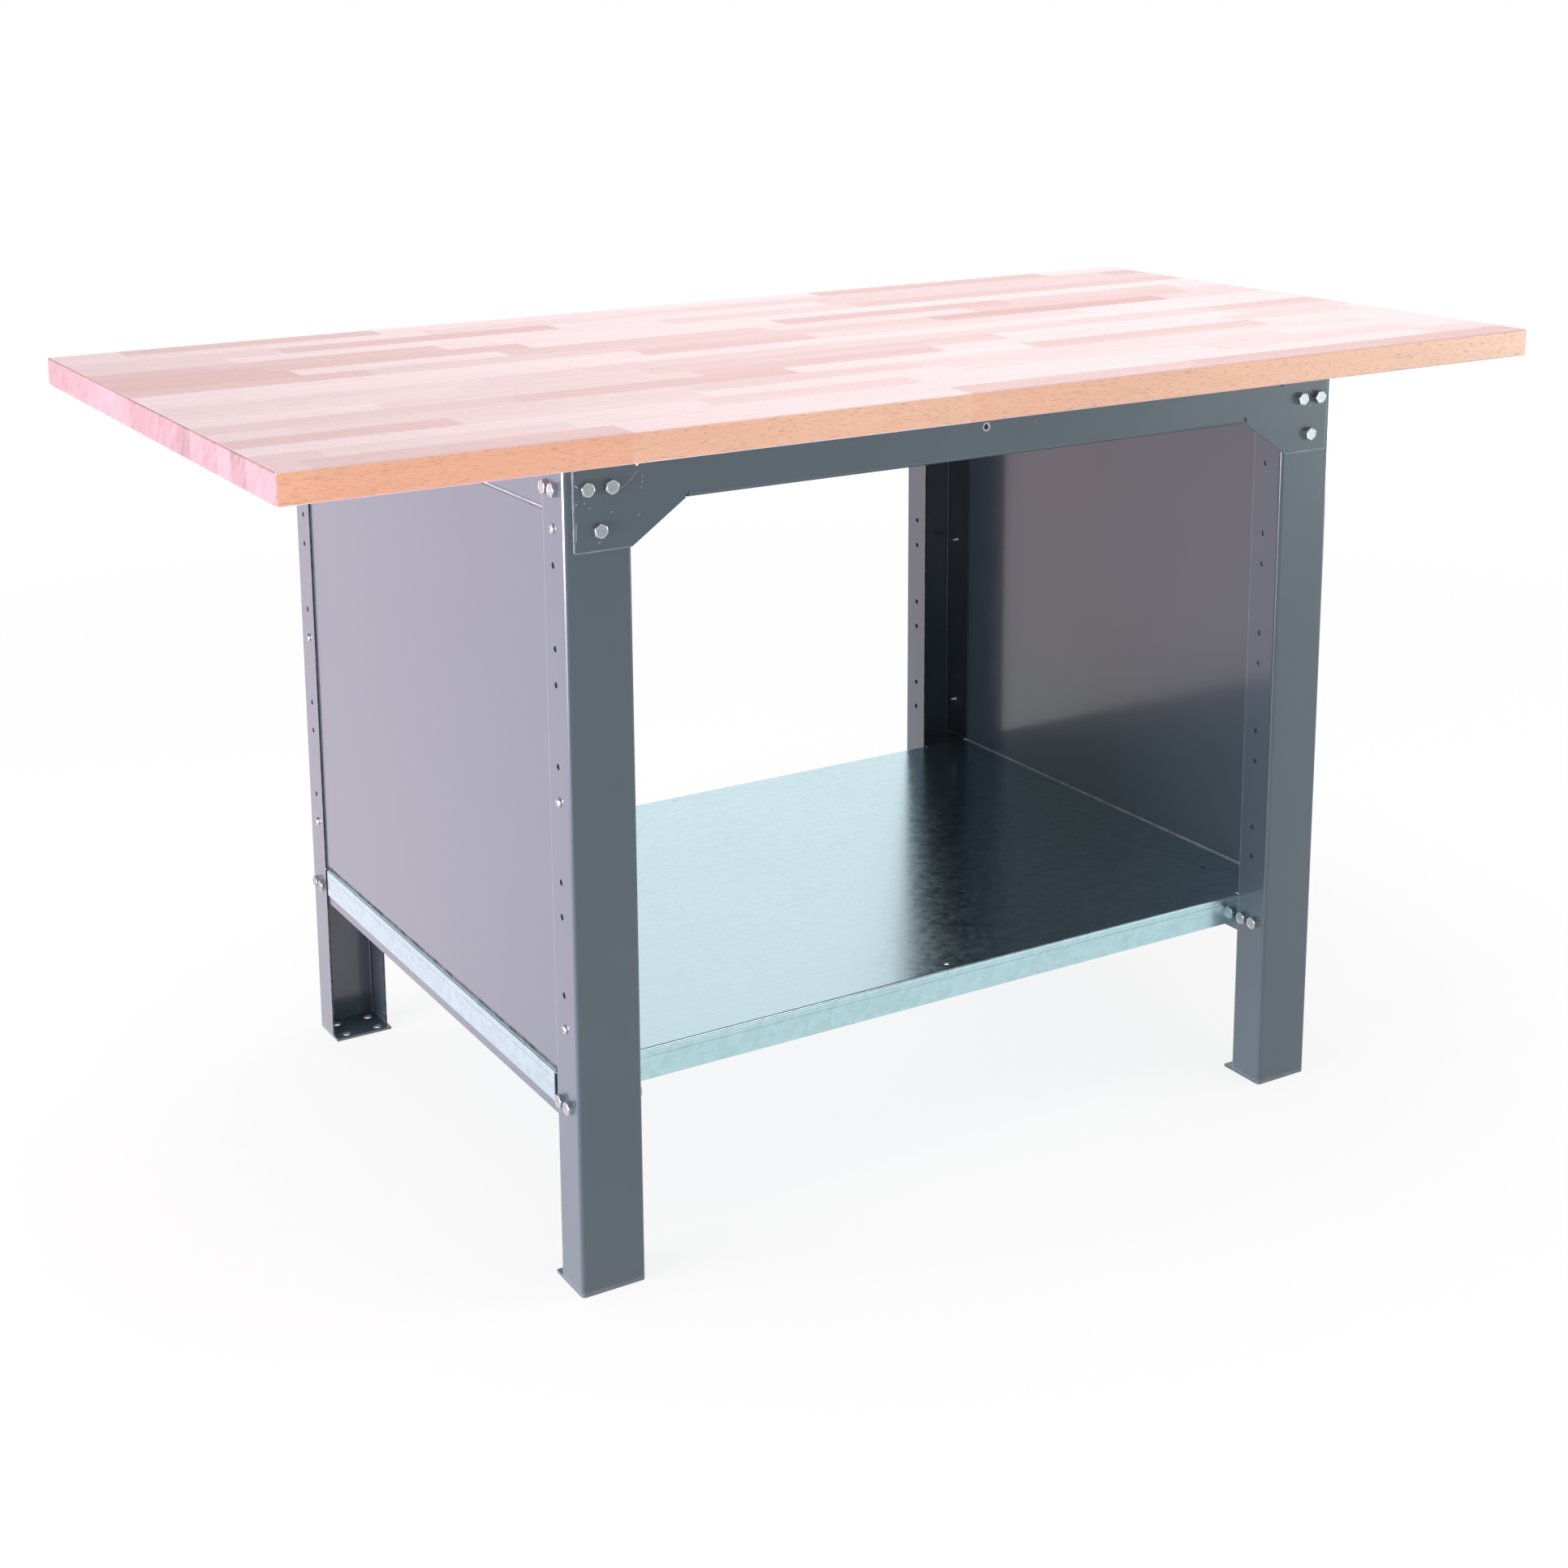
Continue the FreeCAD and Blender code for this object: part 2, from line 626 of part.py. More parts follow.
def make_end(name, side):
    """The cross rails, the panel and the fasteners of one end of the frame."""
    wood_holes = [(x - leg_middle * side, y) for x, y in over_cross_rail(cross_screw_centres(), side)]
    shelf_holes = [(x - leg_middle * side, y) for x, y in over_cross_rail(shelf_hole_centres(), side)]
    make_cross_rail(f"{name}_upper_cross_rail", side, frame_top, wood_holes, d.wood_screw_hole)
    make_cross_rail(f"{name}_lower_cross_rail", side, shelf_under, shelf_holes, d.shelf_hole)
    make_panel(f"{name}_end_panel", side)
    outer = half_length * side
    inner = long_lip * side
    grip = d.leg_sheet + d.fit_gap + d.cross_sheet
    outer_centres = cross_bolt_centres(frame_top, shelf_under)
    inner_centres = cross_bolt_centres(shelf_under)
    make_bolts(f"{name}_outer_bolts", "YZ_Plane", outer, side > 0, outer_centres)
    make_bolts(f"{name}_inner_bolts", "YZ_Plane", inner, side < 0, inner_centres)
    make_nuts(f"{name}_outer_nuts", "YZ_Plane", outer - grip * side, side < 0, outer_centres)
    make_nuts(f"{name}_inner_nuts", "YZ_Plane", inner + grip * side, side > 0, inner_centres)
    make_pan_screws(f"{name}_panel_screws", "YZ_Plane", outer, side > 0, screw_centres(),
                    d.screw_head, d.screw_head_height, d.screw_dia, d.screw_length)


def over_cross_rail(centres, side):
    """The places, out of some in plan, that lie over the cross rails of one end."""
    return [(x, y) for x, y in centres if x.value * side > long_lip.value]


def make_bench():
    """Every piece of the bench."""
    make_worktop()
    for depth_name, end in (("front", -1), ("rear", 1)):
        for side_name, side in (("left", -1), ("right", 1)):
            make_leg(f"{depth_name}_{side_name}_leg", side, end)
            make_foot(f"{depth_name}_{side_name}_foot", side, end)
        make_rail(f"{depth_name}_rail", end)
        face = (half_depth + d.rail_sheet) * -end
        back = (half_depth - d.leg_sheet) * -end
        make_bolts(f"{depth_name}_rail_bolts", "XZ_Plane", face, end < 0, rail_bolt_centres())
        make_nuts(f"{depth_name}_rail_nuts", "XZ_Plane", back, end > 0, rail_bolt_centres())
    for name, side in (("left", -1), ("right", 1)):
        make_end(name, side)
    make_shelf()
    make_wood_screws()


def make_wood_screws():
    """Screws up through the folds of the rails and the webs of the upper cross rails."""
    for label, centres, skin in (("rail_wood_screws", rail_screw_centres(), d.rail_sheet),
                                 ("cross_rail_wood_screws", cross_screw_centres(), d.cross_sheet)):
        make_pan_screws(label, "XY_Plane", frame_top - skin, False, centres, d.wood_screw_head,
                        d.wood_screw_head_height, d.wood_screw_dia, skin + d.wood_screw_bite)


def write_parts():
    """Check every object and write one file for each piece."""
    failed = [item.Name for item in doc.Objects if {"Invalid", "Error"} & set(item.State)]
    bodies = [item for item in doc.Objects if item.TypeId == "PartDesign::Body"]
    failed += [body.Label for body in bodies if body.Shape.isNull() or not body.Shape.isValid()]
    if failed:
        raise RuntimeError(f"failed: {failed}")
    os.makedirs("parts", exist_ok=True)
    for body in bodies:
        body.Shape.exportStep(os.path.join("parts", f"{body.Label}.step"))
    print(f"{len(bodies)} pieces")


make_bench()
doc.recompute()
write_parts()
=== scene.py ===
"""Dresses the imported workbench: beech worktop, enamelled steel frame, galvanised shelf and zinc fasteners."""
import logging
import math
import random
from collections.abc import Iterable, Mapping, Sequence
from dataclasses import dataclass, field
from enum import Enum
from typing import Any

import bmesh
import bpy
from mathutils import Euler, Matrix, Vector


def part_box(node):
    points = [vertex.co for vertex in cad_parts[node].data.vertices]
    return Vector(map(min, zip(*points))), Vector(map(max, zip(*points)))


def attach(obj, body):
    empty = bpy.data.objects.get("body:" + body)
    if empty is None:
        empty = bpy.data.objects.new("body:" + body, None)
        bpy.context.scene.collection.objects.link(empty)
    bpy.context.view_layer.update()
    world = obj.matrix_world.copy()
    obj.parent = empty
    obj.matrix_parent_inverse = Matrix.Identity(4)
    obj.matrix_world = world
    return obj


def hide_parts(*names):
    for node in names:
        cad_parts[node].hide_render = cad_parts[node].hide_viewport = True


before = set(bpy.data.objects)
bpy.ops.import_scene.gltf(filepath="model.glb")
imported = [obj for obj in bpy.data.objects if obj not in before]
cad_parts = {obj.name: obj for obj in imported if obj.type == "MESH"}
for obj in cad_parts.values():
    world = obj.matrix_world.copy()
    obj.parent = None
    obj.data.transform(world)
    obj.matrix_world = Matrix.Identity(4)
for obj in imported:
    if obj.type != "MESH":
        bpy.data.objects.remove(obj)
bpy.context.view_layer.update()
LOG = logging.getLogger("workbench")

Colour = tuple[float, float, float, float]
Triple = tuple[float, float, float]
Stops = tuple[tuple[float, float], ...]

OUTPUT_KINDS = ("OUTPUT_MATERIAL", "OUTPUT_WORLD")
WHITE: Colour = (1.0, 1.0, 1.0, 1.0)


class Wire:
    """One shader socket. An expression on it adds its Math nodes."""

    def __init__(self, graph: "Graph", socket: bpy.types.NodeSocket) -> None:
        """Keeps the graph and the socket."""
        self.graph = graph
        self.socket = socket

    def maths(self, operation: str, *terms: Any) -> "Wire":
        """Adds one Math node with these inputs, wires or numbers."""
        return self.graph.node("ShaderNodeMath", {"operation": operation}, dict(enumerate(terms)))

    def output(self, name: str) -> "Wire":
        """Another output of the node that this wire leaves."""
        return Wire(self.graph, self.socket.node.outputs[name])

    def __add__(self, other: Any) -> "Wire":
        """Sum."""
        return self.maths("ADD", self, other)

    __radd__ = __add__

    def __sub__(self, other: Any) -> "Wire":
        """Difference."""
        return self.maths("SUBTRACT", self, other)

    def __rsub__(self, other: Any) -> "Wire":
        """Difference from a number."""
        return self.maths("SUBTRACT", other, self)

    def __mul__(self, other: Any) -> "Wire":
        """Product."""
        return self.maths("MULTIPLY", self, other)

    __rmul__ = __mul__

    def __truediv__(self, other: Any) -> "Wire":
        """Quotient."""
        return self.maths("DIVIDE", self, other)

    def __rtruediv__(self, other: Any) -> "Wire":
        """Quotient of a number by this wire."""
        return self.maths("DIVIDE", other, self)

    def __pow__(self, other: Any) -> "Wire":
        """Power."""
        return self.maths("POWER", self, other)

    def __lt__(self, other: Any) -> "Wire":
        """1 where this wire is the smaller one."""
        return self.maths("LESS_THAN", self, other)

    def __gt__(self, other: Any) -> "Wire":
        """1 where this wire is the larger one."""
        return self.maths("GREATER_THAN", self, other)

    def __abs__(self) -> "Wire":
        """Size without the sign."""
        return self.maths("ABSOLUTE", self)

    def floor(self) -> "Wire":
        """Whole number below."""
        return self.maths("FLOOR", self)

    def part(self) -> "Wire":
        """What is left over the whole number below."""
        return self.maths("FRACT", self)

    def sine(self) -> "Wire":
        """Sine."""
        return self.maths("SINE", self)

    def least(self, other: Any) -> "Wire":
        """The smaller of two."""
        return self.maths("MINIMUM", self, other)

    def most(self, other: Any) -> "Wire":
        """The larger of two."""
        return self.maths("MAXIMUM", self, other)

    def swing(self, amount: float) -> "Wire":
        """A value about 0.5 made into one about 0, times an amount."""
        return (self - 0.5) * amount

    def unit(self) -> "Wire":
        """A value from -1 to 1 made into one from 0 to 1."""
        return self * 0.5 + 0.5

    def radius(self, other: "Wire") -> "Wire":
        """Distance from an axis, of which this wire and the other one are the two parts."""
        return (self * self + other * other) ** 0.5


class Graph:
    """The node tree of one material or of the world."""

    def __init__(self, tree: bpy.types.NodeTree) -> None:
        """Clears the tree down to its output and keeps it.

        Args:
            tree: the node tree.
        """
        for node in [node for node in tree.nodes if node.type not in OUTPUT_KINDS]:
            tree.nodes.remove(node)
        self.tree = tree

    def node(
        self,
        kind: str,
        settings: Mapping[str, Any] | None = None,
        sockets: Mapping[int | str, Any] | None = None,
        output: int | str = 0,
    ) -> Wire:
        """Adds one node.

        Args:
            kind: the node's type.
            settings: its properties, and a ramp's stops, which are set first.
            sockets: values or wires of its inputs, by name or number.
            output: the output to return.

        Returns:
            That output.
        """
        made = self.tree.nodes.new(kind)
        for name, value in (settings or {}).items():
            if name == "stops":
                self.set_stops(made.color_ramp.elements, value)
            else:
                setattr(made, name, value)
        for key, value in (sockets or {}).items():
            if isinstance(value, Wire):
                self.tree.links.new(value.socket, made.inputs[key])
            else:
                made.inputs[key].default_value = value
        return Wire(self, made.outputs[output])

    @staticmethod
    def set_stops(elements: Any, stops: Stops) -> None:
        """Sets the stops of a ramp.

        Args:
            elements: the ramp's elements, two at first.
            stops: place and grey level of each stop.
        """
        while len(elements) < len(stops):
            elements.new(1.0)
        for element, (place, level) in zip(elements, stops):
            element.position = place
            element.color = (level, level, level, 1.0)

    def place(self) -> Wire:
        """Point on the object, in metres."""
        return self.node("ShaderNodeTexCoord", output="Object")

    def facing(self) -> tuple[Wire, Wire, Wire]:
        """Parts of the surface's direction."""
        return self.split(self.node("ShaderNodeNewGeometry", output="Normal"))

    def split(self, vector: Wire) -> tuple[Wire, Wire, Wire]:
        """Parts of a vector."""
        first = self.node("ShaderNodeSeparateXYZ", {}, {0: vector})
        return first, first.output("Y"), first.output("Z")

    def stretch(self, vector: Wire, scale: Triple) -> Wire:
        """A vector times a scale for each axis."""
        return self.node("ShaderNodeVectorMath", {"operation": "MULTIPLY"}, {0: vector, 1: scale})

    def shift(self, vector: Wire, amount: Wire, step: Triple) -> Wire:
        """A vector moved by an amount of steps."""
        away = self.node("ShaderNodeVectorMath", {"operation": "SCALE"}, {0: step, "Scale": amount})
        return self.node("ShaderNodeVectorMath", {"operation": "ADD"}, {0: vector, 1: away})

    def noise(self, vector: Wire, scale: float = 1.0, detail: float = 2.0, rough: float = 0.5) -> Wire:
        """Cloudy noise about 0.5, with its layers and the weight of the finer ones."""
        sockets = {"Vector": vector, "Scale": scale, "Detail": detail, "Roughness": rough}
        return self.node("ShaderNodeTexNoise", {}, sockets)

    def chance(self, number: Wire) -> Wire:
        """A random value for each number."""
        return self.node("ShaderNodeTexWhiteNoise", {"noise_dimensions": "1D"}, {"W": number}, "Value")

    def ramp(self, value: Wire, stops: Stops) -> Wire:
        """Grey levels along a value."""
        return self.node("ShaderNodeValToRGB", {"stops": stops}, {0: value})

    def mix(self, factor: Wire | float, first: Any, second: Any, way: str = "MIX") -> Wire:
        """Mixes two colours, with the share of the second and the blend type."""
        settings = {"data_type": "RGBA", "blend_type": way}
        return self.node("ShaderNodeMix", settings, {0: factor, 6: first, 7: second}, 2)

    def shade(self, colour: Any, level: Wire) -> Wire:
        """A colour times a level."""
        grey = self.node("ShaderNodeCombineColor", {}, {0: level, 1: level, 2: level})
        return self.mix(1.0, colour, grey, "MULTIPLY")

    def bump(self, height: Wire, strength: float, distance: float) -> Wire:
        """Surface relief from a height, with its strength and its depth in metres."""
        return self.node("ShaderNodeBump", {}, {"Height": height, "Strength": strength, "Distance": distance})

    def surface(self, sockets: Mapping[str, Any]) -> None:
        """Ends the graph of a material in a Principled shader with these sockets."""
        self.end(self.node("ShaderNodeBsdfPrincipled", {}, sockets))

    def end(self, shader: Wire) -> None:
        """Links a shader to the tree's output."""
        target = next(node for node in self.tree.nodes if node.type in OUTPUT_KINDS)
        self.tree.links.new(shader.socket, target.inputs["Surface"])


def new_material(name: str) -> tuple[bpy.types.Material, Graph]:
    """Makes an empty material.

    Args:
        name: the material's name.

    Returns:
        The material and its graph, which holds only the output.
    """
    material = bpy.data.materials.new(name)
    material.use_nodes = True
    return material, Graph(material.node_tree)


@dataclass(frozen=True)
class Beech:
    """Oiled beech, glued up from short staves that run along the bench.

    Fields that end in tone, roughness or height weigh what they name in the colour, the roughness and the
    relief. Seeds and keys pick the random values of rows and staves.
    """

    pale: Colour = (0.80, 0.665, 0.67, 1.0)
    rosy_and_painted_light: Colour = (0.74, 0.55, 0.57, 1.0)
    dark: Colour = (0.61, 0.37, 0.35, 1.0)
    edge: Colour = (0.98, 0.65, 0.475, 1.0)
    edge_dark_and_shade: Colour = (0.80, 0.385, 0.23, 1.0)
    end: Colour = (0.285, 0.172, 0.192, 1.0)
    fleck: Colour = (0.50, 0.22, 0.13, 1.0)
    stave_width: float = 0.0395
    stave_length: float = 0.34
    row_slide: float = 5.0
    slide_seed: float = 0.37
    first_cut: float = 0.2
    cut_spread: float = 0.6
    cut_keys: tuple[float, float] = (5.3, 1.7)
    cut_seed: float = 0.19
    tone_keys: tuple[float, float] = (7.31, 3.17)
    glue_line: float = 0.00035
    squareness: float = 0.6
    grain_scale: Triple = (3.0, 62.0, 62.0)
    grain_step: Triple = (19.0, 11.0, 7.0)
    fine_scale: Triple = (70.0, 900.0, 900.0)
    fleck_scale: Triple = (95.0, 1600.0, 1600.0)
    fleck_step: Triple = (3.0, 5.0, 7.0)
    fleck_stops: Stops = ((0.60, 0.0), (0.70, 1.0))
    dark_stops: Stops = ((0.30, 0.0), (0.72, 0.45), (1.0, 1.0))
    pith_sway: float = 0.07
    sway_seed: float = 0.71
    pith_drop: float = 0.04
    pith_rise: float = 0.11
    rise_seed: float = 0.11
    ring_rate: float = 2100.0
    ring_wander: float = 4.0
    wander_scale: float = 90.0
    ray_slant: Triple = (0.0, 0.9, 0.0)
    ray_scale: Triple = (1.0, 240.0, 45.0)
    long_tone: float = 0.99
    grain_tone: float = 0.36
    fine_tone: float = 0.24
    end_tone: float = 0.80
    stave_tone: float = 0.30
    ring_tone: float = 0.14
    ray_tone: float = 0.95
    glue_tone: float = 0.15
    # Share of the rosy colour at the middle of the bench, and how fast it grows towards the left end as painted
    # light.
    rosy_share: float = 0.25
    painted_light_rosy_fall: float = 0.5
    # Share of the dark edge colour, what each stave's tone adds, and how fast painted shade makes the long
    # edges darker towards the left end.
    edge_share: float = 0.25
    edge_spread: float = 0.35
    painted_shade_edge_fall: float = 0.35
    fleck_share: float = 0.62
    fleck_loss: float = 0.30
    roughness: float = 0.42
    grain_roughness: float = 0.20
    end_roughness: float = 0.16
    fleck_roughness: float = 0.08
    grain_height: float = 0.5
    fine_height: float = 0.3
    fleck_height: float = 0.6
    relief: float = 0.18
    relief_depth: float = 0.0006
    index: float = 1.42

    def material(self) -> bpy.types.Material:
        """Staves with their own tone, grain lines, short flecks, glue lines and end grain.

        Painted light makes the top pinker, and painted shade makes the long edges darker, towards the left end.

        Returns:
            The material.
        """
        material, graph = new_material("beech")
        low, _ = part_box("worktop")
        place = graph.place()
        x, y, _ = graph.split(place)
        across = (y - low.y) / self.stave_width
        row = across.floor()
        along = x / self.stave_length + graph.chance(row + self.slide_seed) * self.row_slide
        bay = along.floor()
        row_key, bay_key = self.cut_keys
        cut_chance = graph.chance(row * row_key + bay * bay_key + self.cut_seed)
        cut = self.first_cut + cut_chance * self.cut_spread
        row_key, bay_key = self.tone_keys
        tone = graph.chance(row * row_key + (bay + (along.part() > cut)) * bay_key)
        normal_x, _, normal_z = graph.facing()
        is_end = abs(normal_x) > self.squareness
        is_face = abs(normal_z) > self.squareness

        grain_place = graph.shift(graph.stretch(place, self.grain_scale), tone, self.grain_step)
        grain = graph.noise(grain_place, detail=7.0, rough=0.66)
        fine = graph.noise(graph.stretch(place, self.fine_scale), detail=3.0, rough=0.6)
        fleck_place = graph.shift(graph.stretch(place, self.fleck_scale), tone, self.fleck_step)
        flecks = graph.ramp(graph.noise(fleck_place, detail=1.0, rough=0.4), self.fleck_stops)
        side = across.part()
        seam = (side.least(1.0 - side) * self.stave_width) < self.glue_line
        joint = (abs(along.part() - cut) * self.stave_length) < self.glue_line
        glue = seam.most(joint)

        long_level = self.long_tone + grain.swing(self.grain_tone) + fine.swing(self.fine_tone)
        end_level = self.end_level(graph, place, row, side, tone)
        level = long_level + (end_level - long_level) * is_end
        level = level * (1.0 - glue * self.glue_tone)
        # Painted light: the top turns pinker towards the left end, where the pink key light falls; at the
        # middle a share of rosy stays as the wood's own tone.
        pale = graph.mix(self.rosy_share - x * self.painted_light_rosy_fall, self.pale, self.rosy_and_painted_light)
        face = graph.mix(graph.ramp(tone, self.dark_stops), pale, self.dark)
        # Painted shade: the long edges take more of the dark edge colour towards the left end, on top of each
        # stave's own tone.
        edge_share = self.edge_share + tone * self.edge_spread - x * self.painted_shade_edge_fall
        edge = graph.mix(edge_share, self.edge, self.edge_dark_and_shade)
        fleck_share = flecks * (self.fleck_share - is_face * self.fleck_loss)
        long_colour = graph.mix(fleck_share, graph.mix(is_face, edge, face), self.fleck)
        colour = graph.mix(is_end, long_colour, self.end)
        roughness = self.roughness + grain.swing(self.grain_roughness)
        height = grain * self.grain_height + fine * self.fine_height - flecks * self.fleck_height - glue
        graph.surface({
            "Base Color": graph.shade(colour, level),
            "Roughness": roughness + is_end * self.end_roughness + flecks * self.fleck_roughness,
            "IOR": self.index,
            "Normal": graph.bump(height, self.relief, self.relief_depth),
        })
        return material

    def end_level(self, graph: Graph, place: Wire, row: Wire, side: Wire, tone: Wire) -> Wire:
        """Light and dark of the end grain: year rings about each stave's pith, and slanting rays.

        Args:
            graph: the wood's graph.
            place: point on the worktop.
            row: number of the row of staves.
            side: place across the stave, from 0 to 1.
            tone: the stave's random value.

        Returns:
            The level.
        """
        low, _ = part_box("worktop")
        z = graph.split(place)[2]
        middle = graph.chance(row + self.sway_seed) * self.pith_sway - self.pith_sway / 2
        ring_y = side.swing(self.stave_width) + middle
        ring_z = z - (low.z - self.pith_drop) - graph.chance(row + self.rise_seed) * self.pith_rise
        wander = graph.noise(place, self.wander_scale) * self.ring_wander
        rings = (ring_y.radius(ring_z) * self.ring_rate + wander).sine().unit()
        slant = graph.shift(place, z, self.ray_slant)
        rays = graph.noise(graph.stretch(slant, self.ray_scale), detail=3.0, rough=0.6)
        return self.end_tone + tone * self.stave_tone - rings * self.ring_tone + rays.swing(self.ray_tone)


@dataclass(frozen=True)
class Scuff:
    """A mark rubbed through the paint of the front rail, as a short bar seen from the front.

    Its middle is given from the bench's middle and from the rail's top.
    """

    x: float
    drop: float
    length: float
    width: float
    angle: float
    strength: float

    def mask(self, x: Wire, z: Wire) -> Wire:
        """Where the mark is.

        Args:
            x: place along the bench.
            z: height.

        Returns:
            The mark's strength on it and 0 beside it.
        """
        _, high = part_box("front_rail")
        turn = math.radians(self.angle)
        right = x - self.x
        up = z - (high.z - self.drop)
        along = right * math.cos(turn) + up * math.sin(turn)
        aside = up * math.cos(turn) - right * math.sin(turn)
        return (abs(along) < self.length / 2) * (abs(aside) < self.width / 2) * self.strength


RAIL_SCUFFS = (
    Scuff(-0.4601, 0.0195, 0.0042, 0.0013, -38.0, 0.8),
    Scuff(-0.4603, 0.0362, 0.0020, 0.0009, 20.0, 0.7),
    Scuff(-0.4518, 0.0357, 0.0016, 0.0009, 65.0, 0.6),
    Scuff(-0.4468, 0.0411, 0.0022, 0.0008, -15.0, 0.6),
    Scuff(-0.4373, 0.0743, 0.0018, 0.0010, 35.0, 0.6),
    Scuff(-0.4245, 0.0471, 0.0022, 0.0008, 10.0, 0.5),
    Scuff(-0.4610, 0.0620, 0.0180, 0.0008, 89.0, 0.55),
    Scuff(-0.4110, 0.0240, 0.0090, 0.0005, 31.0, 0.55),
    Scuff(-0.4040, 0.0188, 0.0080, 0.0005, 41.0, 0.5),
    Scuff(-0.3987, 0.0134, 0.0076, 0.0005, 51.0, 0.45),
    Scuff(-0.3915, 0.0170, 0.0036, 0.0006, 82.0, 0.5),
    Scuff(-0.3921, 0.0222, 0.0030, 0.0006, 82.0, 0.5),
    Scuff(-0.3929, 0.0275, 0.0032, 0.0006, 82.0, 0.45),
    Scuff(-0.3960, 0.0531, 0.0030, 0.0008, 5.0, 0.45),
    Scuff(0.4340, 0.0122, 0.0060, 0.0005, -30.0, 0.5),
    Scuff(0.4402, 0.0170, 0.0070, 0.0005, -45.0, 0.5),
    Scuff(0.4390, 0.0326, 0.0016, 0.0010, 0.0, 0.6),
    Scuff(0.4344, 0.0557, 0.0016, 0.0010, 0.0, 0.6),
    Scuff(0.0611, 0.0114, 0.0050, 0.0005, 25.0, 0.5),
)


class Axis(Enum):
    """A direction of the row frame."""

    ALONG = 0
    DEEP = 1
    UP = 2


class End(Enum):
    """A corner of a node's box."""

    LOW = 0
    HIGH = 1


@dataclass(frozen=True)
class EdgeLine:
    """A thin line along an edge or a bend: pale lines are painted highlights where an edge or a fold catches
    light, partly thin paint at cut edges; dark lines are painted shadow in gaps between sheets and on a shaded
    cut edge.

    It runs from start to stop, measured from one end of a node's box.
    """

    node: str
    axis: Axis
    end: End
    start: float
    stop: float
    tint: Colour
    strength: float

    def mask(self, parts: Sequence[Wire], patches: Wire) -> Wire:
        """Where the line is.

        Args:
            parts: the place along, deep and up.
            patches: how whole the line is.

        Returns:
            The line's strength on it and 0 beside it.
        """
        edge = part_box(self.node)[self.end.value][self.axis.value]
        place = parts[self.axis.value]
        return (place > edge + self.start) * (place < edge + self.stop) * (self.strength * patches)


# Painted highlight: the pale colour of thin lines where an edge or a fold catches light.
PAINTED_EDGE_HIGHLIGHT: Colour = (0.30, 0.33, 0.36, 1.0)
# Painted shadow: the near-black of gaps between sheets and of a shaded cut edge.
PAINTED_GAP_SHADOW: Colour = (0.006, 0.008, 0.010, 1.0)
# Lines on the legs: a painted highlight on the front legs' free flange edge, partly thin paint at the cut edge;
# painted shadow on the rear legs' flange edge, which faces the front; and a pale band at the bottom of each
# leg.
LEG_LINES = (
    EdgeLine("front_left_leg", Axis.DEEP, End.HIGH, -0.0011, 0.0001, PAINTED_EDGE_HIGHLIGHT, 0.30),
    EdgeLine("rear_left_leg", Axis.DEEP, End.LOW, -0.0009, 0.0007, PAINTED_GAP_SHADOW, 1.0),
    EdgeLine("front_left_leg", Axis.UP, End.LOW, -0.0010, 0.0045, PAINTED_EDGE_HIGHLIGHT, 0.25),
)
# At the panel's top fold: a painted shadow line, and above it a painted highlight band up to the top edge,
# where the fold catches light.
PANEL_HEAD_LINES = (
    EdgeLine("left_end_panel", Axis.UP, End.HIGH, -0.0039, -0.0027, PAINTED_GAP_SHADOW, 0.9),
    EdgeLine("left_end_panel", Axis.UP, End.HIGH, -0.0027, -0.0003, PAINTED_EDGE_HIGHLIGHT, 0.8),
)
# The left panel's foot: painted shadow where it stands on the shelf's end lip.
LEFT_PANEL_LINES = (
    EdgeLine("left_end_panel", Axis.UP, End.LOW, -0.0010, 0.0042, PAINTED_GAP_SHADOW, 1.0),
    *PANEL_HEAD_LINES,
)
# The right panel's foot: a painted highlight of the shelf's bend as seen from inside the bench, laid on both
# faces.
RIGHT_PANEL_LINES = (
    EdgeLine("right_end_panel", Axis.UP, End.LOW, -0.0010, 0.0016, PAINTED_EDGE_HIGHLIGHT, 1.0),
    *PANEL_HEAD_LINES,
)
# Painted highlights along the rail plates' bottom edge and both side edges, where the cut edges catch light.
RAIL_LINES = (
    EdgeLine("front_rail", Axis.UP, End.LOW, -0.0002, 0.0014, PAINTED_EDGE_HIGHLIGHT, 0.55),
    EdgeLine("front_rail", Axis.ALONG, End.LOW, -0.0005, 0.0011, PAINTED_EDGE_HIGHLIGHT, 0.75),
    EdgeLine("front_rail", Axis.ALONG, End.HIGH, -0.0011, 0.0005, PAINTED_EDGE_HIGHLIGHT, 0.60),
)


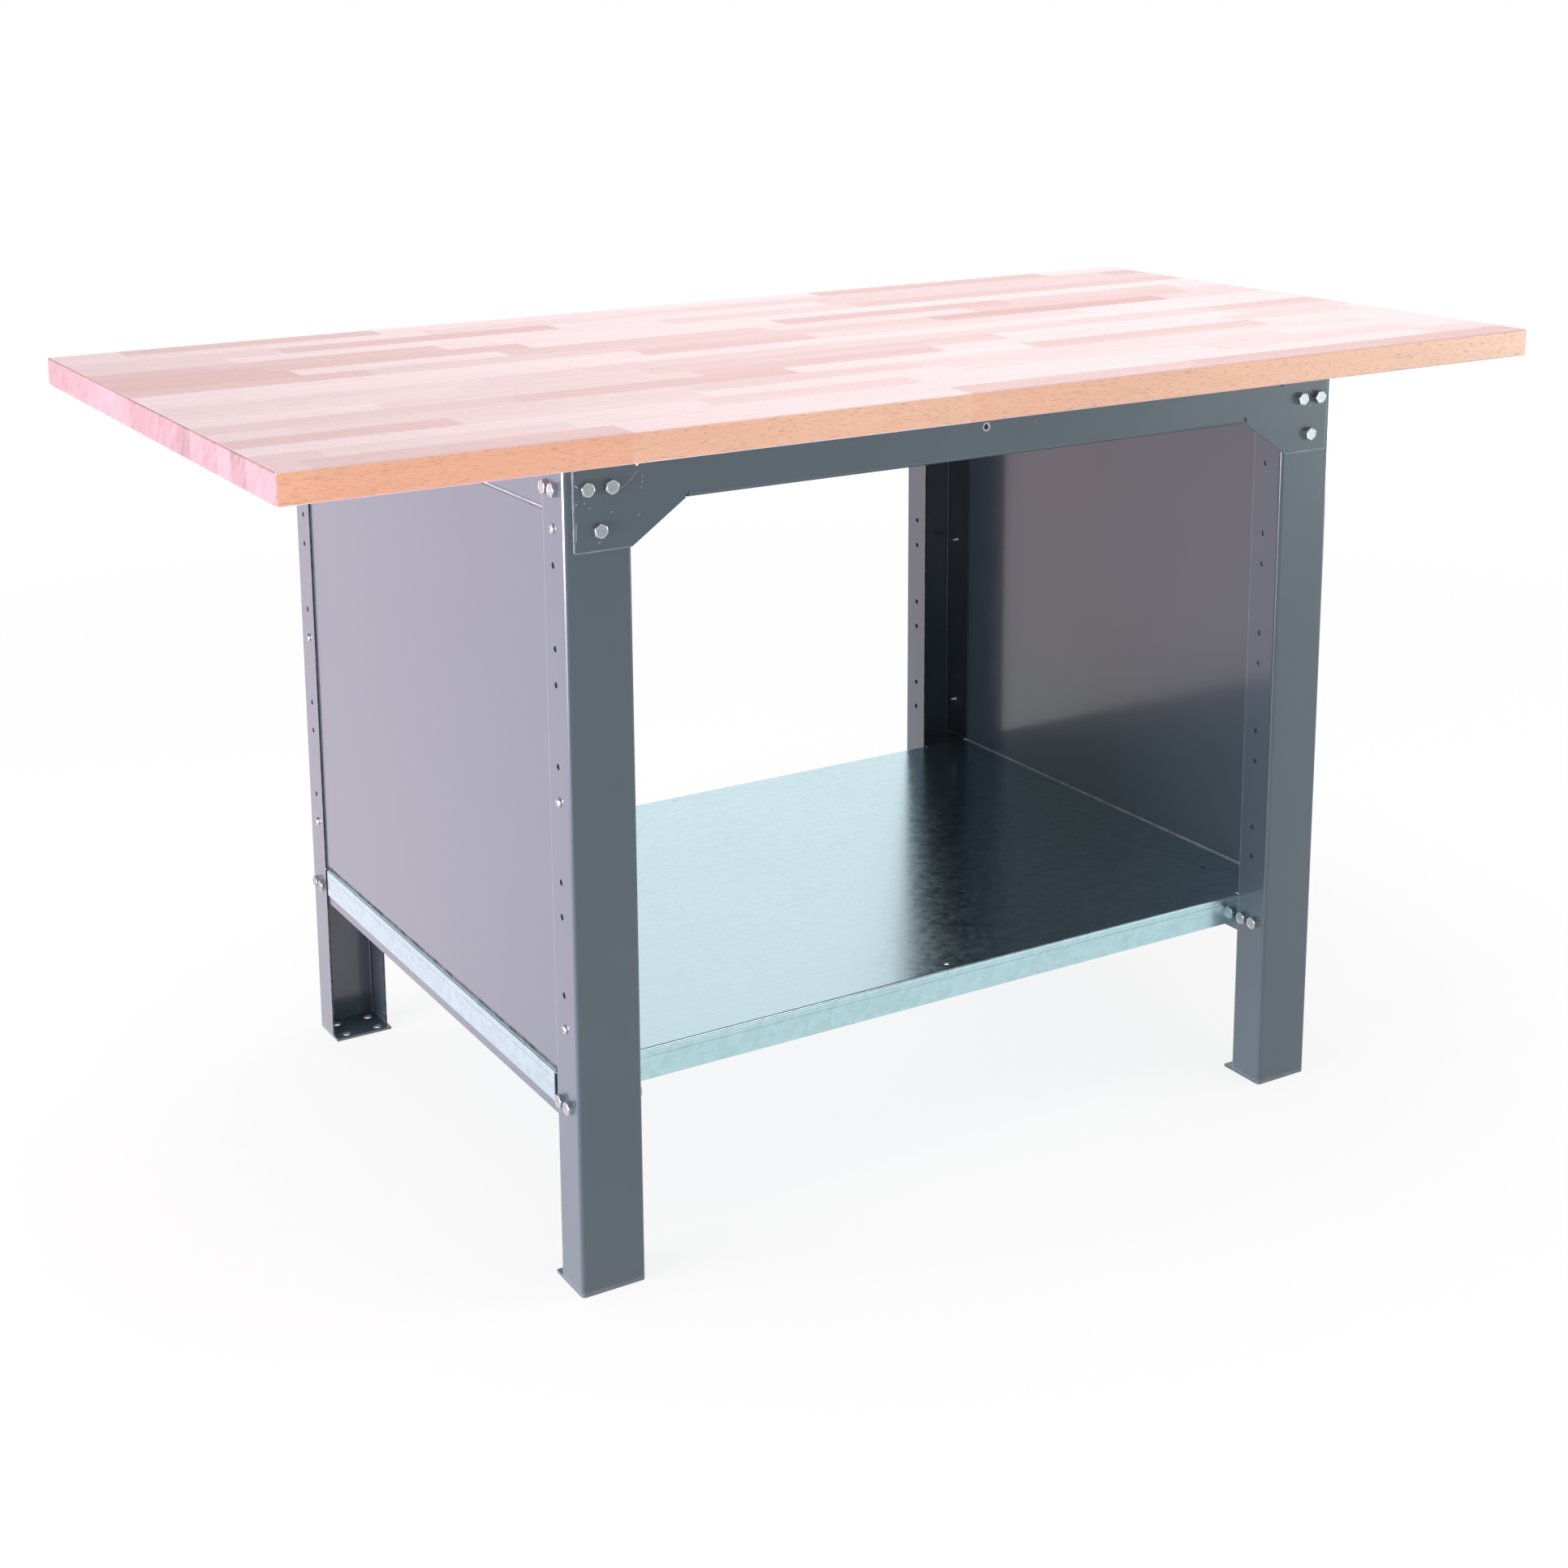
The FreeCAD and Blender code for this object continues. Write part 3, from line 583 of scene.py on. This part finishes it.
@dataclass(frozen=True)
class Enamel:
    """Glossy slate-grey enamel on folded sheet, with orange peel and faint handling marks.

    Fields that end in tone or roughness weigh what they name in the colour and the roughness.
    """

    name: str = "slate_enamel"
    colour: Colour = (0.046, 0.067, 0.089, 1.0)
    bare: Colour = (0.42, 0.45, 0.48, 1.0)
    lines: tuple[EdgeLine, ...] = ()
    scuffs: tuple[Scuff, ...] = ()
    ring_height: float = 0.0
    ring_radius: float = 0.0038
    ring_half_width: float = 0.0009
    ring_strength: float = 0.75
    worn_least: float = 0.55
    worn_cloud: float = 0.8
    cloud_scale: float = 5.5
    peel_scale: float = 620.0
    dust_scale: float = 410.0
    dust_stops: Stops = ((0.70, 0.0), (0.76, 1.0))
    handled_scale: float = 2.6
    handled_stops: Stops = ((0.48, 0.0), (0.75, 1.0))
    patch_scale: float = 70.0
    patch_stops: Stops = ((0.30, 0.45), (0.62, 1.0))
    plain_tone: float = 0.97
    cloud_tone: float = 0.20
    dust_tone: float = 0.18
    handled_tone: float = 0.05
    roughness: float = 0.30
    cloud_roughness: float = 0.10
    handled_roughness: float = 0.07
    dust_roughness: float = 0.15
    gap_roughness: float = 0.6
    worn_roughness: float = 0.15
    coat_loss: float = 0.15
    coat_roughness: float = 0.12
    dust_height: float = 0.3
    relief: float = 0.03
    relief_depth: float = 0.0003
    index: float = 1.55

    def material(self) -> bpy.types.Material:
        """Clouded tone, dust specks, orange peel, painted edge highlights and shadows, and scuffs where there
        are any.

        Returns:
            The material.
        """
        material, graph = new_material(self.name)
        place = graph.place()
        parts = graph.split(place)
        cloud = graph.noise(place, self.cloud_scale, detail=3.0, rough=0.55)
        peel = graph.noise(place, self.peel_scale, detail=1.0, rough=0.4)
        dust = graph.ramp(graph.noise(place, self.dust_scale, rough=0.6), self.dust_stops)
        handled = graph.noise(place, self.handled_scale, detail=4.0, rough=0.6)
        handled = graph.ramp(handled, self.handled_stops)
        patches = graph.ramp(graph.noise(place, self.patch_scale, rough=0.6), self.patch_stops)
        level = self.plain_tone + cloud.swing(self.cloud_tone) + dust * self.dust_tone
        colour = graph.shade(self.colour, level + handled * self.handled_tone)
        roughness = self.roughness + cloud.swing(self.cloud_roughness)
        roughness = roughness + handled * self.handled_roughness + dust * self.dust_roughness
        coat = 1.0 - handled * self.coat_loss
        for line in self.lines:
            share = line.mask(parts, patches)
            colour = graph.mix(share, colour, line.tint)
            # Painted shadow lines are also made matte and lose their coat, so that they stay dark.
            if line.tint == PAINTED_GAP_SHADOW:
                roughness = roughness + share * self.gap_roughness
                coat = coat * (1.0 - share)
        if self.scuffs:
            worn = self.worn(parts[0], parts[2], cloud)
            colour = graph.mix(worn, colour, self.bare)
            roughness = roughness + worn * self.worn_roughness
        graph.surface({
            "Base Color": colour,
            "Roughness": roughness,
            "IOR": self.index,
            "Coat Weight": coat,
            "Coat Roughness": self.coat_roughness,
            "Normal": graph.bump(peel + dust * self.dust_height, self.relief, self.relief_depth),
        })
        return material

    def worn(self, x: Wire, z: Wire, cloud: Wire) -> Wire:
        """Where paint is rubbed off: the scuffs, and a ring about the hole in the middle of the rail.

        Args:
            x: place along the bench.
            z: height.
            cloud: noise that makes the marks uneven.

        Returns:
            How bare the sheet is.
        """
        reach = x.radius(z - self.ring_height)
        worn = (abs(reach - self.ring_radius) < self.ring_half_width) * self.ring_strength
        for scuff in self.scuffs:
            worn = worn.most(scuff.mask(x, z))
        return worn * (self.worn_least + cloud * self.worn_cloud)


@dataclass(frozen=True)
class Galvanised:
    """Bright galvanised sheet with spangle and rolling lines.

    Fields that end in tone, roughness or height weigh what they name in the colour, the roughness and the
    relief.
    """

    colour: Colour = (0.615, 0.82, 0.88, 1.0)
    spangle: float = 125.0
    wobble_scale: float = 60.0
    wobble: Triple = (0.02, 0.02, 0.02)
    rolled_scale: Triple = (3.0, 420.0, 420.0)
    cloud_scale: float = 7.0
    crease_drop: float = 0.0086
    crease_half_width: float = 0.0004
    plain_tone: float = 0.95
    crystal_tone: float = 0.09
    rolled_tone: float = 0.10
    cloud_tone: float = 0.08
    crease_shade_tone: float = 0.30
    roughness: float = 0.21
    crystal_roughness: float = 0.06
    cloud_roughness: float = 0.06
    rolled_height: float = 0.4
    crystal_height: float = 0.3
    crease_height: float = 2.0
    relief: float = 0.04
    relief_depth: float = 0.0004

    def material(self) -> bpy.types.Material:
        """Spangle cells, rolling lines along the sheet, and the crease under its bends, sunk in the relief and
        darker as painted shade.

        Returns:
            The material.
        """
        material, graph = new_material("galvanised_sheet")
        _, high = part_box("shelf")
        place = graph.place()
        z = graph.split(place)[2]
        bent = graph.shift(place, graph.noise(place, self.wobble_scale), self.wobble)
        cells = graph.node("ShaderNodeTexVoronoi", {}, {"Vector": bent, "Scale": self.spangle}, "Color")
        crystal = graph.split(cells)[0]
        rolled = graph.noise(graph.stretch(place, self.rolled_scale), detail=3.0, rough=0.6)
        cloud = graph.noise(place, self.cloud_scale, detail=3.0)
        crease = abs(z - (high.z - self.crease_drop)) < self.crease_half_width
        level = self.plain_tone + crystal.swing(self.crystal_tone) + rolled.swing(self.rolled_tone)
        # Painted shade: the colour is darker along the crease, beside the groove in the relief.
        level = level + cloud.swing(self.cloud_tone) - crease * self.crease_shade_tone
        roughness = self.roughness + crystal.swing(self.crystal_roughness)
        height = rolled * self.rolled_height + crystal * self.crystal_height - crease * self.crease_height
        graph.surface({
            "Base Color": graph.shade(self.colour, level),
            "Metallic": 1.0,
            "Roughness": roughness + cloud.swing(self.cloud_roughness),
            "Normal": graph.bump(height, self.relief, self.relief_depth),
        })
        return material


@dataclass(frozen=True)
class Zinc:
    """Zinc plating on bolts, nuts and screws.

    Fields that end in tone or roughness weigh what they name in the colour and the roughness.
    """

    name: str = "zinc_plating"
    colour: Colour = (0.66, 0.68, 0.71, 1.0)
    cast: Colour = (0.56, 0.54, 0.47, 1.0)
    cast_share: float = 0.5
    patch_scale: float = 240.0
    dull_stops: Stops = ((0.42, 0.0), (0.68, 1.0))
    mark_scale: Triple = (900.0, 900.0, 2600.0)
    plain_tone: float = 0.88
    mark_tone: float = 0.24
    roughness: float = 0.22
    dull_roughness: float = 0.14
    mark_roughness: float = 0.10
    relief: float = 0.10
    relief_depth: float = 0.0002

    def material(self) -> bpy.types.Material:
        """Plating with dull patches, forming marks and a slight yellow cast.

        Returns:
            The material.
        """
        material, graph = new_material(self.name)
        place = graph.place()
        patch = graph.noise(place, self.patch_scale, detail=3.0, rough=0.6)
        marks = graph.noise(graph.stretch(place, self.mark_scale))
        dull = graph.ramp(patch, self.dull_stops)
        tint = graph.mix(dull * self.cast_share, self.colour, self.cast)
        graph.surface({
            "Base Color": graph.shade(tint, self.plain_tone + marks.swing(self.mark_tone)),
            "Metallic": 1.0,
            "Roughness": self.roughness + dull * self.dull_roughness + marks.swing(self.mark_roughness),
            "Normal": graph.bump(marks + patch, self.relief, self.relief_depth),
        })
        return material


def dress(nodes: Iterable[str], material: bpy.types.Material) -> None:
    """Gives CAD nodes a finish.

    Args:
        nodes: names of the nodes.
        material: the finish.
    """
    for name in nodes:
        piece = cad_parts[name]
        if not piece.material_slots:
            piece.data.materials.append(material)
        for slot in piece.material_slots:
            slot.material = material
        LOG.info("dressed %s in %s", name, material.name)


def add_object(name: str, data: bpy.types.ID) -> bpy.types.Object:
    """Makes an object and links it to the scene.

    Args:
        name: the object's name.
        data: its mesh, light or camera.

    Returns:
        The object.
    """
    made = bpy.data.objects.new(name, data)
    bpy.context.scene.collection.objects.link(made)
    return made


def to_mesh(name: str, shape: bmesh.types.BMesh) -> bpy.types.Mesh:
    """Makes a mesh of a shape, which is freed.

    Args:
        name: the mesh's name.
        shape: the shape.

    Returns:
        The mesh.
    """
    mesh = bpy.data.meshes.new(name)
    shape.to_mesh(mesh)
    shape.free()
    return mesh


def circle(radius: float, height: float, count: int) -> list[Vector]:
    """Points of a circle about Z at a height."""
    turns = [math.tau * step / count for step in range(count)]
    return [Vector((radius * math.cos(turn), radius * math.sin(turn), height)) for turn in turns]


def skin(rings: Sequence[Sequence[Vector]], smooth: Sequence[int] = ()) -> bmesh.types.BMesh:
    """Joins rings of points into a closed skin.

    Args:
        rings: rings with the same number of points, from the tip to the top.
        smooth: numbers of the bands that are shaded smooth.

    Returns:
        The skin, whose last face is the top.
    """
    shape = bmesh.new()
    made = [[shape.verts.new(point) for point in ring] for ring in rings]
    for number, (low, high) in enumerate(zip(made, made[1:])):
        for index in range(len(low)):
            after = (index + 1) % len(low)
            band = shape.faces.new((low[index], low[after], high[after], high[index]))
            band.smooth = number in smooth
    shape.faces.new(list(reversed(made[0])))
    shape.faces.new(made[-1])
    return shape


def solids(node: str, weld: float = 1e-6) -> list[tuple[Vector, Vector]]:
    """Finds the separate solids of a CAD node.

    Args:
        node: the node's name.
        weld: distance under which two points count as one.

    Returns:
        The lowest and highest corner of each solid, in no set order.
    """
    shape = bmesh.new()
    shape.from_mesh(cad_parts[node].data)
    bmesh.ops.remove_doubles(shape, verts=shape.verts, dist=weld)
    waiting = set(shape.verts)
    boxes = []
    while waiting:
        reached = [waiting.pop()]
        points = []
        while reached:
            vertex = reached.pop()
            points.append(tuple(vertex.co))
            beside = waiting.intersection(edge.other_vert(vertex) for edge in vertex.link_edges)
            waiting -= beside
            reached.extend(beside)
        low = Vector([min(values) for values in zip(*points)])
        high = Vector([max(values) for values in zip(*points)])
        boxes.append((low, high))
    shape.free()
    return boxes


class Facing(Enum):
    """The way that a fastener's head looks."""

    FRONT = (0.0, -1.0, 0.0)
    REAR = (0.0, 1.0, 0.0)
    LEFT = (-1.0, 0.0, 0.0)
    RIGHT = (1.0, 0.0, 0.0)

    def seat(self, low: Vector, high: Vector, head: float) -> Vector:
        """Finds the seat of a fastener.

        Args:
            low: lowest corner of its box.
            high: highest corner of its box.
            head: height of its head.

        Returns:
            The point of its axis under the head.
        """
        way = Vector(self.value)
        half_length = abs((high - low).dot(way)) / 2
        return (low + high) / 2 + way * (half_length - head)

    def order(self, seat: Vector, digits: int = 4) -> tuple[float, ...]:
        """Gives the key that sorts seats.

        Args:
            seat: the seat.
            digits: decimals to which heights are compared.

        Returns:
            The key: from the top down and then from front to rear, and on the rails end by end first.
        """
        depth = -round(seat.z, digits)
        if self in (Facing.LEFT, Facing.RIGHT):
            return depth, seat.y
        return math.copysign(1.0, seat.x), depth, seat.x

    def stand(self, seat: Vector, spin: float) -> Matrix:
        """Stands a fastener on its seat.

        Args:
            seat: centre of the seat, in the row frame.
            spin: turn about its own axis, in radians.

        Returns:
            The matrix from the fastener's own frame, head along +Z.
        """
        turn = Vector((0.0, 0.0, 1.0)).rotation_difference(Vector(self.value))
        return Matrix.Translation(seat) @ turn.to_matrix().to_4x4() @ Matrix.Rotation(spin, 4, "Z")


@dataclass
class FastenerKind:
    """Fasteners of one pattern, which take the place of the plain ones of some CAD nodes."""

    head: float
    segments: int
    seed: int
    groups: tuple[tuple[str, Facing], ...]

    def pattern(self) -> bpy.types.Mesh:
        """One fastener with its seat at the origin and its head along +Z."""
        raise NotImplementedError

    def build(self, *finishes: bpy.types.Material) -> None:
        """Stands a fastener on each seat, each with its own turn.

        Args:
            finishes: the platings, in the order of the pattern's material numbers.
        """
        chance = random.Random(self.seed)
        pattern = self.pattern()
        for node, facing in self.groups:
            seats = [facing.seat(low, high, self.head) for low, high in solids(node)]
            seats.sort(key=facing.order)
            places = [facing.stand(seat, chance.uniform(0.0, math.tau)) for seat in seats]
            piece = self.copies(f"{node}_heads", pattern, places)
            for finish in finishes:
                piece.data.materials.append(finish)
            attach(piece, "root")
            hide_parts(node)
            LOG.info("built %s for %s", piece.name, node)
        bpy.data.meshes.remove(pattern)

    @staticmethod
    def copies(name: str, pattern: bpy.types.Mesh, places: Iterable[Matrix]) -> bpy.types.Object:
        """Makes one piece of copies of a mesh.

        Args:
            name: the piece's name.
            pattern: the mesh to copy.
            places: where the copies stand.

        Returns:
            The piece, linked to the scene.
        """
        joined = bmesh.new()
        for matrix in places:
            known = len(joined.verts)
            joined.from_mesh(pattern)
            joined.verts.ensure_lookup_table()
            bmesh.ops.transform(joined, matrix=matrix, verts=joined.verts[known:])
        return add_object(name, to_mesh(name, joined))


@dataclass
class HexBolts(FastenerKind):
    """Hexagon bolts of the rails and cross rails."""

    head: float = 0.0053
    segments: int = 48
    seed: int = 11
    groups: tuple[tuple[str, Facing], ...] = (
        ("front_rail_bolts", Facing.FRONT),
        ("rear_rail_bolts", Facing.REAR),
        ("left_outer_bolts", Facing.LEFT),
        ("left_inner_bolts", Facing.RIGHT),
        ("right_outer_bolts", Facing.RIGHT),
        ("right_inner_bolts", Facing.LEFT),
    )
    flats: float = 0.013
    face: float = 0.00615
    slope: float = 0.55
    rim_share: float = 0.93
    sunk_share: float = 0.86
    sunk: float = 0.00025
    shank: float = 0.008
    length: float = 0.016
    tip: float = 0.0008
    tip_share: float = 0.8

    def pattern(self) -> bpy.types.Mesh:
        """One bolt with a round chamfer on its head, a sunk face and a pointed shank.

        Returns:
            The mesh, whose sunk face has the second material.
        """
        count = self.segments
        root = self.shank / 2
        low = []
        high = []
        for way in circle(1.0, 0.0, count):
            reach = self.outline(math.atan2(way.y, way.x))
            chamfer = max(0.0, reach - self.face) * self.slope
            low.append(way * reach)
            high.append(way * reach + Vector((0.0, 0.0, self.head - chamfer)))
        rings = [
            circle(root * self.tip_share, -self.length, count),
            circle(root, self.tip - self.length, count),
            circle(root, 0.0, count),
            low,
            high,
            circle(self.face, self.head, count),
            circle(self.face * self.rim_share, self.head, count),
            circle(self.face * self.sunk_share, self.head - self.sunk, count),
        ]
        shank_band, chamfer_band, rim_band = 1, 4, 6
        shape = skin(rings, (shank_band, chamfer_band, rim_band))
        shape.faces.ensure_lookup_table()
        shape.faces[-1].material_index = 1
        return to_mesh("hex_bolt", shape)

    def outline(self, turn: float) -> float:
        """Distance from the axis to the side of the hexagon at a turn."""
        return self.flats / 2 / math.cos((turn % (math.pi / 3)) - math.pi / 6)


@dataclass
class PanelScrews(FastenerKind):
    """Domed screws with a cross recess that hold the end panels."""

    head: float = 0.003
    segments: int = 40
    seed: int = 5
    groups: tuple[tuple[str, Facing], ...] = (
        ("left_panel_screws", Facing.LEFT),
        ("right_panel_screws", Facing.RIGHT),
    )
    head_radius: float = 0.005
    foot_share: float = 0.97
    foot: float = 0.0003
    rim: float = 0.0007
    dome_shares: tuple[float, ...] = (0.96, 0.88, 0.76, 0.60, 0.40, 0.20)
    dome_powers: tuple[float, float] = (2.4, 0.75)
    shank_radius: float = 0.0025
    length: float = 0.012
    tip: float = 0.003
    tip_share: float = 0.25
    recess_arm: float = 0.0024
    recess_width: float = 0.0009
    recess_depth: float = 0.0014
    recess_low_share: float = 0.7
    recess_high_share: float = 1.1
    recess_overrun: float = 0.0006

    def body(self) -> bpy.types.Mesh:
        """Shank with a point, washer-like rim and domed head.

        Returns:
            The mesh.
        """
        count = self.segments
        rings = [
            circle(self.shank_radius * self.tip_share, -self.length, count),
            circle(self.shank_radius, self.tip - self.length, count),
            circle(self.shank_radius, 0.0, count),
            circle(self.head_radius * self.foot_share, 0.0, count),
            circle(self.head_radius, self.foot, count),
            circle(self.head_radius, self.rim, count),
        ]
        inner, outer = self.dome_powers
        for share in self.dome_shares:
            rise = self.rim + (self.head - self.rim) * (1.0 - share**inner) ** outer
            rings.append(circle(self.head_radius * share, rise, count))
        return to_mesh("panel_screw", skin(rings, range(len(rings))))

    def recess(self) -> bpy.types.Mesh:
        """Cross-shaped cutter with tapered arms, open above the head.

        Returns:
            The mesh.
        """
        half = self.recess_width / 2
        quarter = [(self.recess_arm, -half), (self.recess_arm, half), (half, half)]
        outline = [
            Matrix.Rotation(math.pi / 2 * step, 3, "Z") @ Vector((x, y, 0.0))
            for step in range(4) for x, y in quarter
        ]
        bottom = Vector((0.0, 0.0, self.head - self.recess_depth))
        top = Vector((0.0, 0.0, self.head + self.recess_overrun))
        low = [point * self.recess_low_share + bottom for point in outline]
        high = [point * self.recess_high_share + top for point in outline]
        shape = skin([low, high])
        bmesh.ops.recalc_face_normals(shape, faces=shape.faces)
        return to_mesh("cross_recess", shape)

    def pattern(self) -> bpy.types.Mesh:
        """One screw with its recess cut.

        Returns:
            The mesh.
        """
        screw = add_object("panel_screw", self.body())
        cutter = add_object("cross_recess", self.recess())
        cut = screw.modifiers.new("recess", "BOOLEAN")
        cut.operation = "DIFFERENCE"
        cut.solver = "EXACT"
        cut.object = cutter
        depsgraph = bpy.context.evaluated_depsgraph_get()
        made = bpy.data.meshes.new_from_object(screw.evaluated_get(depsgraph))
        for item in (screw, cutter):
            shape = item.data
            bpy.data.objects.remove(item)
            bpy.data.meshes.remove(shape)
        return made


@dataclass
class Worktop:
    """The beech slab."""

    finish: Beech = field(default_factory=Beech)

    def build(self) -> None:
        """Dresses the slab."""
        dress(["worktop"], self.finish.material())


@dataclass
class Frame:
    """Legs, feet, cross rails and closed ends, and the gusseted rails between them."""

    finish: Enamel = field(default_factory=Enamel)
    rail_hole_drop: float = 0.011
    corners: tuple[str, ...] = ("front_left", "front_right", "rear_left", "rear_right")

    def build(self) -> None:
        """Dresses the frame. The front rail has handling marks of its own."""
        plain = [f"{corner}_foot" for corner in self.corners]
        plain += [f"{side}_{level}_cross_rail" for side in ("left", "right") for level in ("upper", "lower")]
        dress(plain, self.finish.material())
        legs = [f"{corner}_leg" for corner in self.corners]
        dress(legs, Enamel("leg_enamel", lines=LEG_LINES).material())
        # The end panels differ only in their foot line: painted shadow on the left panel, painted highlight on
        # the right one.
        dress(["left_end_panel"], Enamel("left_panel_enamel", lines=LEFT_PANEL_LINES).material())
        dress(["right_end_panel"], Enamel("right_panel_enamel", lines=RIGHT_PANEL_LINES).material())
        dress(["rear_rail"], Enamel("rail_enamel", lines=RAIL_LINES).material())
        _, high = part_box("front_rail")
        hole = high.z - self.rail_hole_drop
        marked = Enamel("scuffed_enamel", lines=RAIL_LINES, scuffs=RAIL_SCUFFS, ring_height=hole)
        dress(["front_rail"], marked.material())


@dataclass
class Shelf:
    """The galvanised tray."""

    finish: Galvanised = field(default_factory=Galvanised)

    def build(self) -> None:
        """Dresses the tray."""
        dress(["shelf"], self.finish.material())


@dataclass
class Fasteners:
    """All bolts, nuts and screws."""

    finish: Zinc = field(default_factory=Zinc)
    bolt_face: Zinc = Zinc("zinc_bolt_face", colour=(0.44, 0.47, 0.50, 1.0), roughness=0.36, relief=0.45)
    plain: tuple[str, ...] = (
        "front_rail_nuts", "rear_rail_nuts", "left_outer_nuts", "left_inner_nuts",
        "right_outer_nuts", "right_inner_nuts", "rail_wood_screws", "cross_rail_wood_screws",
    )

    def build(self) -> None:
        """Builds the bolts and screws in detail and plates the rest."""
        plating = self.finish.material()
        HexBolts().build(plating, self.bolt_face.material())
        PanelScrews().build(plating)
        dress(self.plain, plating)


@dataclass(frozen=True)
class Lamp:
    """A soft rectangular light, with its power in watts."""

    name: str
    place: Triple
    target: Triple
    size: tuple[float, float]
    power: float
    tint: Triple = (1.0, 1.0, 1.0)

    def build(self) -> None:
        """Hangs the light so that it looks at its target."""
        lamp = bpy.data.lights.new(self.name, "AREA")
        lamp.shape = "RECTANGLE"
        lamp.size, lamp.size_y = self.size
        lamp.energy = self.power
        lamp.color = self.tint
        holder = add_object(self.name, lamp)
        holder.location = self.place
        look = Vector(self.target) - Vector(self.place)
        holder.rotation_euler = look.to_track_quat("-Z", "Y").to_euler()


@dataclass
class Studio:
    """White floor, soft lights and the camera. The side lights hang below the worktop's plane."""

    lamps: tuple[Lamp, ...] = (
        Lamp("left_key", (-3.2, -0.25, 0.43), (-0.2, 0.0, 0.47), (2.6, 0.78), 215.0, (1.0, 0.89, 0.95)),
        Lamp("top_light", (0.5, 0.0, 3.0), (0.1, 0.0, 0.6), (2.6, 2.0), 52.0),
        Lamp("right_fill", (3.4, -1.3, 0.43), (0.3, 0.0, 0.47), (2.2, 0.78), 62.0, (0.86, 1.0, 1.0)),
    )
    floor_half: float = 9.0
    floor_drop: float = 0.0004
    floor_colour: Colour = (0.86, 0.86, 0.86, 1.0)
    fade_radius: float = 3.0
    fade_stops: Stops = ((0.30, 0.80), (1.0, 1.0))
    behind_stops: Stops = ((0.20, 0.0), (0.65, 1.0))
    left_stops: Stops = ((0.60, 0.0), (0.85, 1.0))
    front_tint: Colour = (0.70, 0.79, 0.78, 1.0)
    left_tint: Colour = (1.22, 1.0, 1.10, 1.0)
    world_colour: Colour = (1.0, 0.97, 1.0, 1.0)
    world_level: float = 0.62
    wall_stops: Stops = ((0.575, 0.0), (0.70, 1.0))
    wall_foot_stops: Stops = ((0.05, 0.0), (0.20, 1.0))
    ceiling_stops: Stops = ((0.45, 0.0), (0.75, 1.0))
    dark_tint: Colour = (0.22, 0.23, 0.24, 1.0)
    lens: float = 53.63
    sensor: float = 36.0
    shift: tuple[float, float] = (0.03174, -0.20)
    eye: Triple = (-1.377, -2.2259, 1.2522)
    turn: Triple = (78.3643, 0.5651, -30.2072)

    def build(self) -> None:
        """Sets the floor, the world, the lights and the camera."""
        bpy.context.scene.view_settings.view_transform = "Standard"
        self.floor()
        self.world()
        for lamp in self.lamps:
            lamp.build()
        self.camera()

    def floor(self) -> None:
        """Lays a wide white floor that keeps a faint shadow. Mirrored, it is tinted in front and at left."""
        shape = bmesh.new()
        bmesh.ops.create_grid(shape, x_segments=2, y_segments=2, size=self.floor_half)
        floor = add_object("floor", to_mesh("floor", shape))
        floor.location.z = -self.floor_drop
        material, graph = new_material("white_floor")
        lit = graph.node("ShaderNodeBsdfDiffuse", {}, {"Color": self.floor_colour})
        x, y, _ = graph.split(graph.place())
        fade = graph.ramp(x.radius(y) / self.fade_radius, self.fade_stops)
        behind = graph.ramp(y.unit(), self.behind_stops)
        left = graph.ramp(1.0 - x.unit(), self.left_stops)
        seen = graph.node("ShaderNodeLightPath", output="Is Camera Ray")
        mirrored = seen.output("Is Glossy Ray")
        tint = graph.mix(left * behind, graph.mix(behind, self.front_tint, WHITE), self.left_tint)
        colour = graph.mix(mirrored, WHITE, tint)
        glow = graph.node("ShaderNodeEmission", {}, {"Color": colour, "Strength": 1.0})
        graph.end(graph.node("ShaderNodeMixShader", {}, {0: seen.most(mirrored) * fade, 1: lit, 2: glow}))
        floor.data.materials.append(material)

    def world(self) -> None:
        """Sets soft light all round, white where seen. Mirrored, it has a dark ceiling and left wall."""
        world = bpy.data.worlds.new("studio")
        bpy.context.scene.world = world
        world.use_nodes = True
        graph = Graph(world.node_tree)
        light = {"Color": self.world_colour, "Strength": self.world_level}
        soft = graph.node("ShaderNodeBackground", {}, light)
        x, _, z = graph.split(graph.node("ShaderNodeTexCoord", output="Generated"))
        wall = graph.ramp(1.0 - x.unit(), self.wall_stops) * graph.ramp(z, self.wall_foot_stops)
        ceiling = graph.ramp(z, self.ceiling_stops)
        seen = graph.node("ShaderNodeLightPath", output="Is Camera Ray")
        mirrored = seen.output("Is Glossy Ray")
        colour = graph.mix(wall.most(ceiling) * mirrored, WHITE, self.dark_tint)
        shown = graph.node("ShaderNodeBackground", {}, {"Color": colour, "Strength": 1.0})
        graph.end(graph.node("ShaderNodeMixShader", {}, {0: seen.most(mirrored), 1: soft, 2: shown}))

    def camera(self) -> None:
        """Stands the camera at the photograph's viewing angle."""
        lens = bpy.data.cameras.new("camera")
        lens.lens = self.lens
        lens.sensor_width = self.sensor
        lens.shift_x, lens.shift_y = self.shift
        holder = add_object("camera", lens)
        holder.location = self.eye
        holder.rotation_euler = Euler([math.radians(angle) for angle in self.turn])
        bpy.context.scene.camera = holder


def main() -> None:
    """Builds and dresses the bench, piece by piece."""
    logging.basicConfig(level=logging.INFO, format="%(name)s: %(message)s")
    for assembly in (Worktop(), Frame(), Shelf(), Fasteners(), Studio()):
        assembly.build()
        LOG.info("finished %s", type(assembly).__name__)


if __name__ == "__main__":
    main()
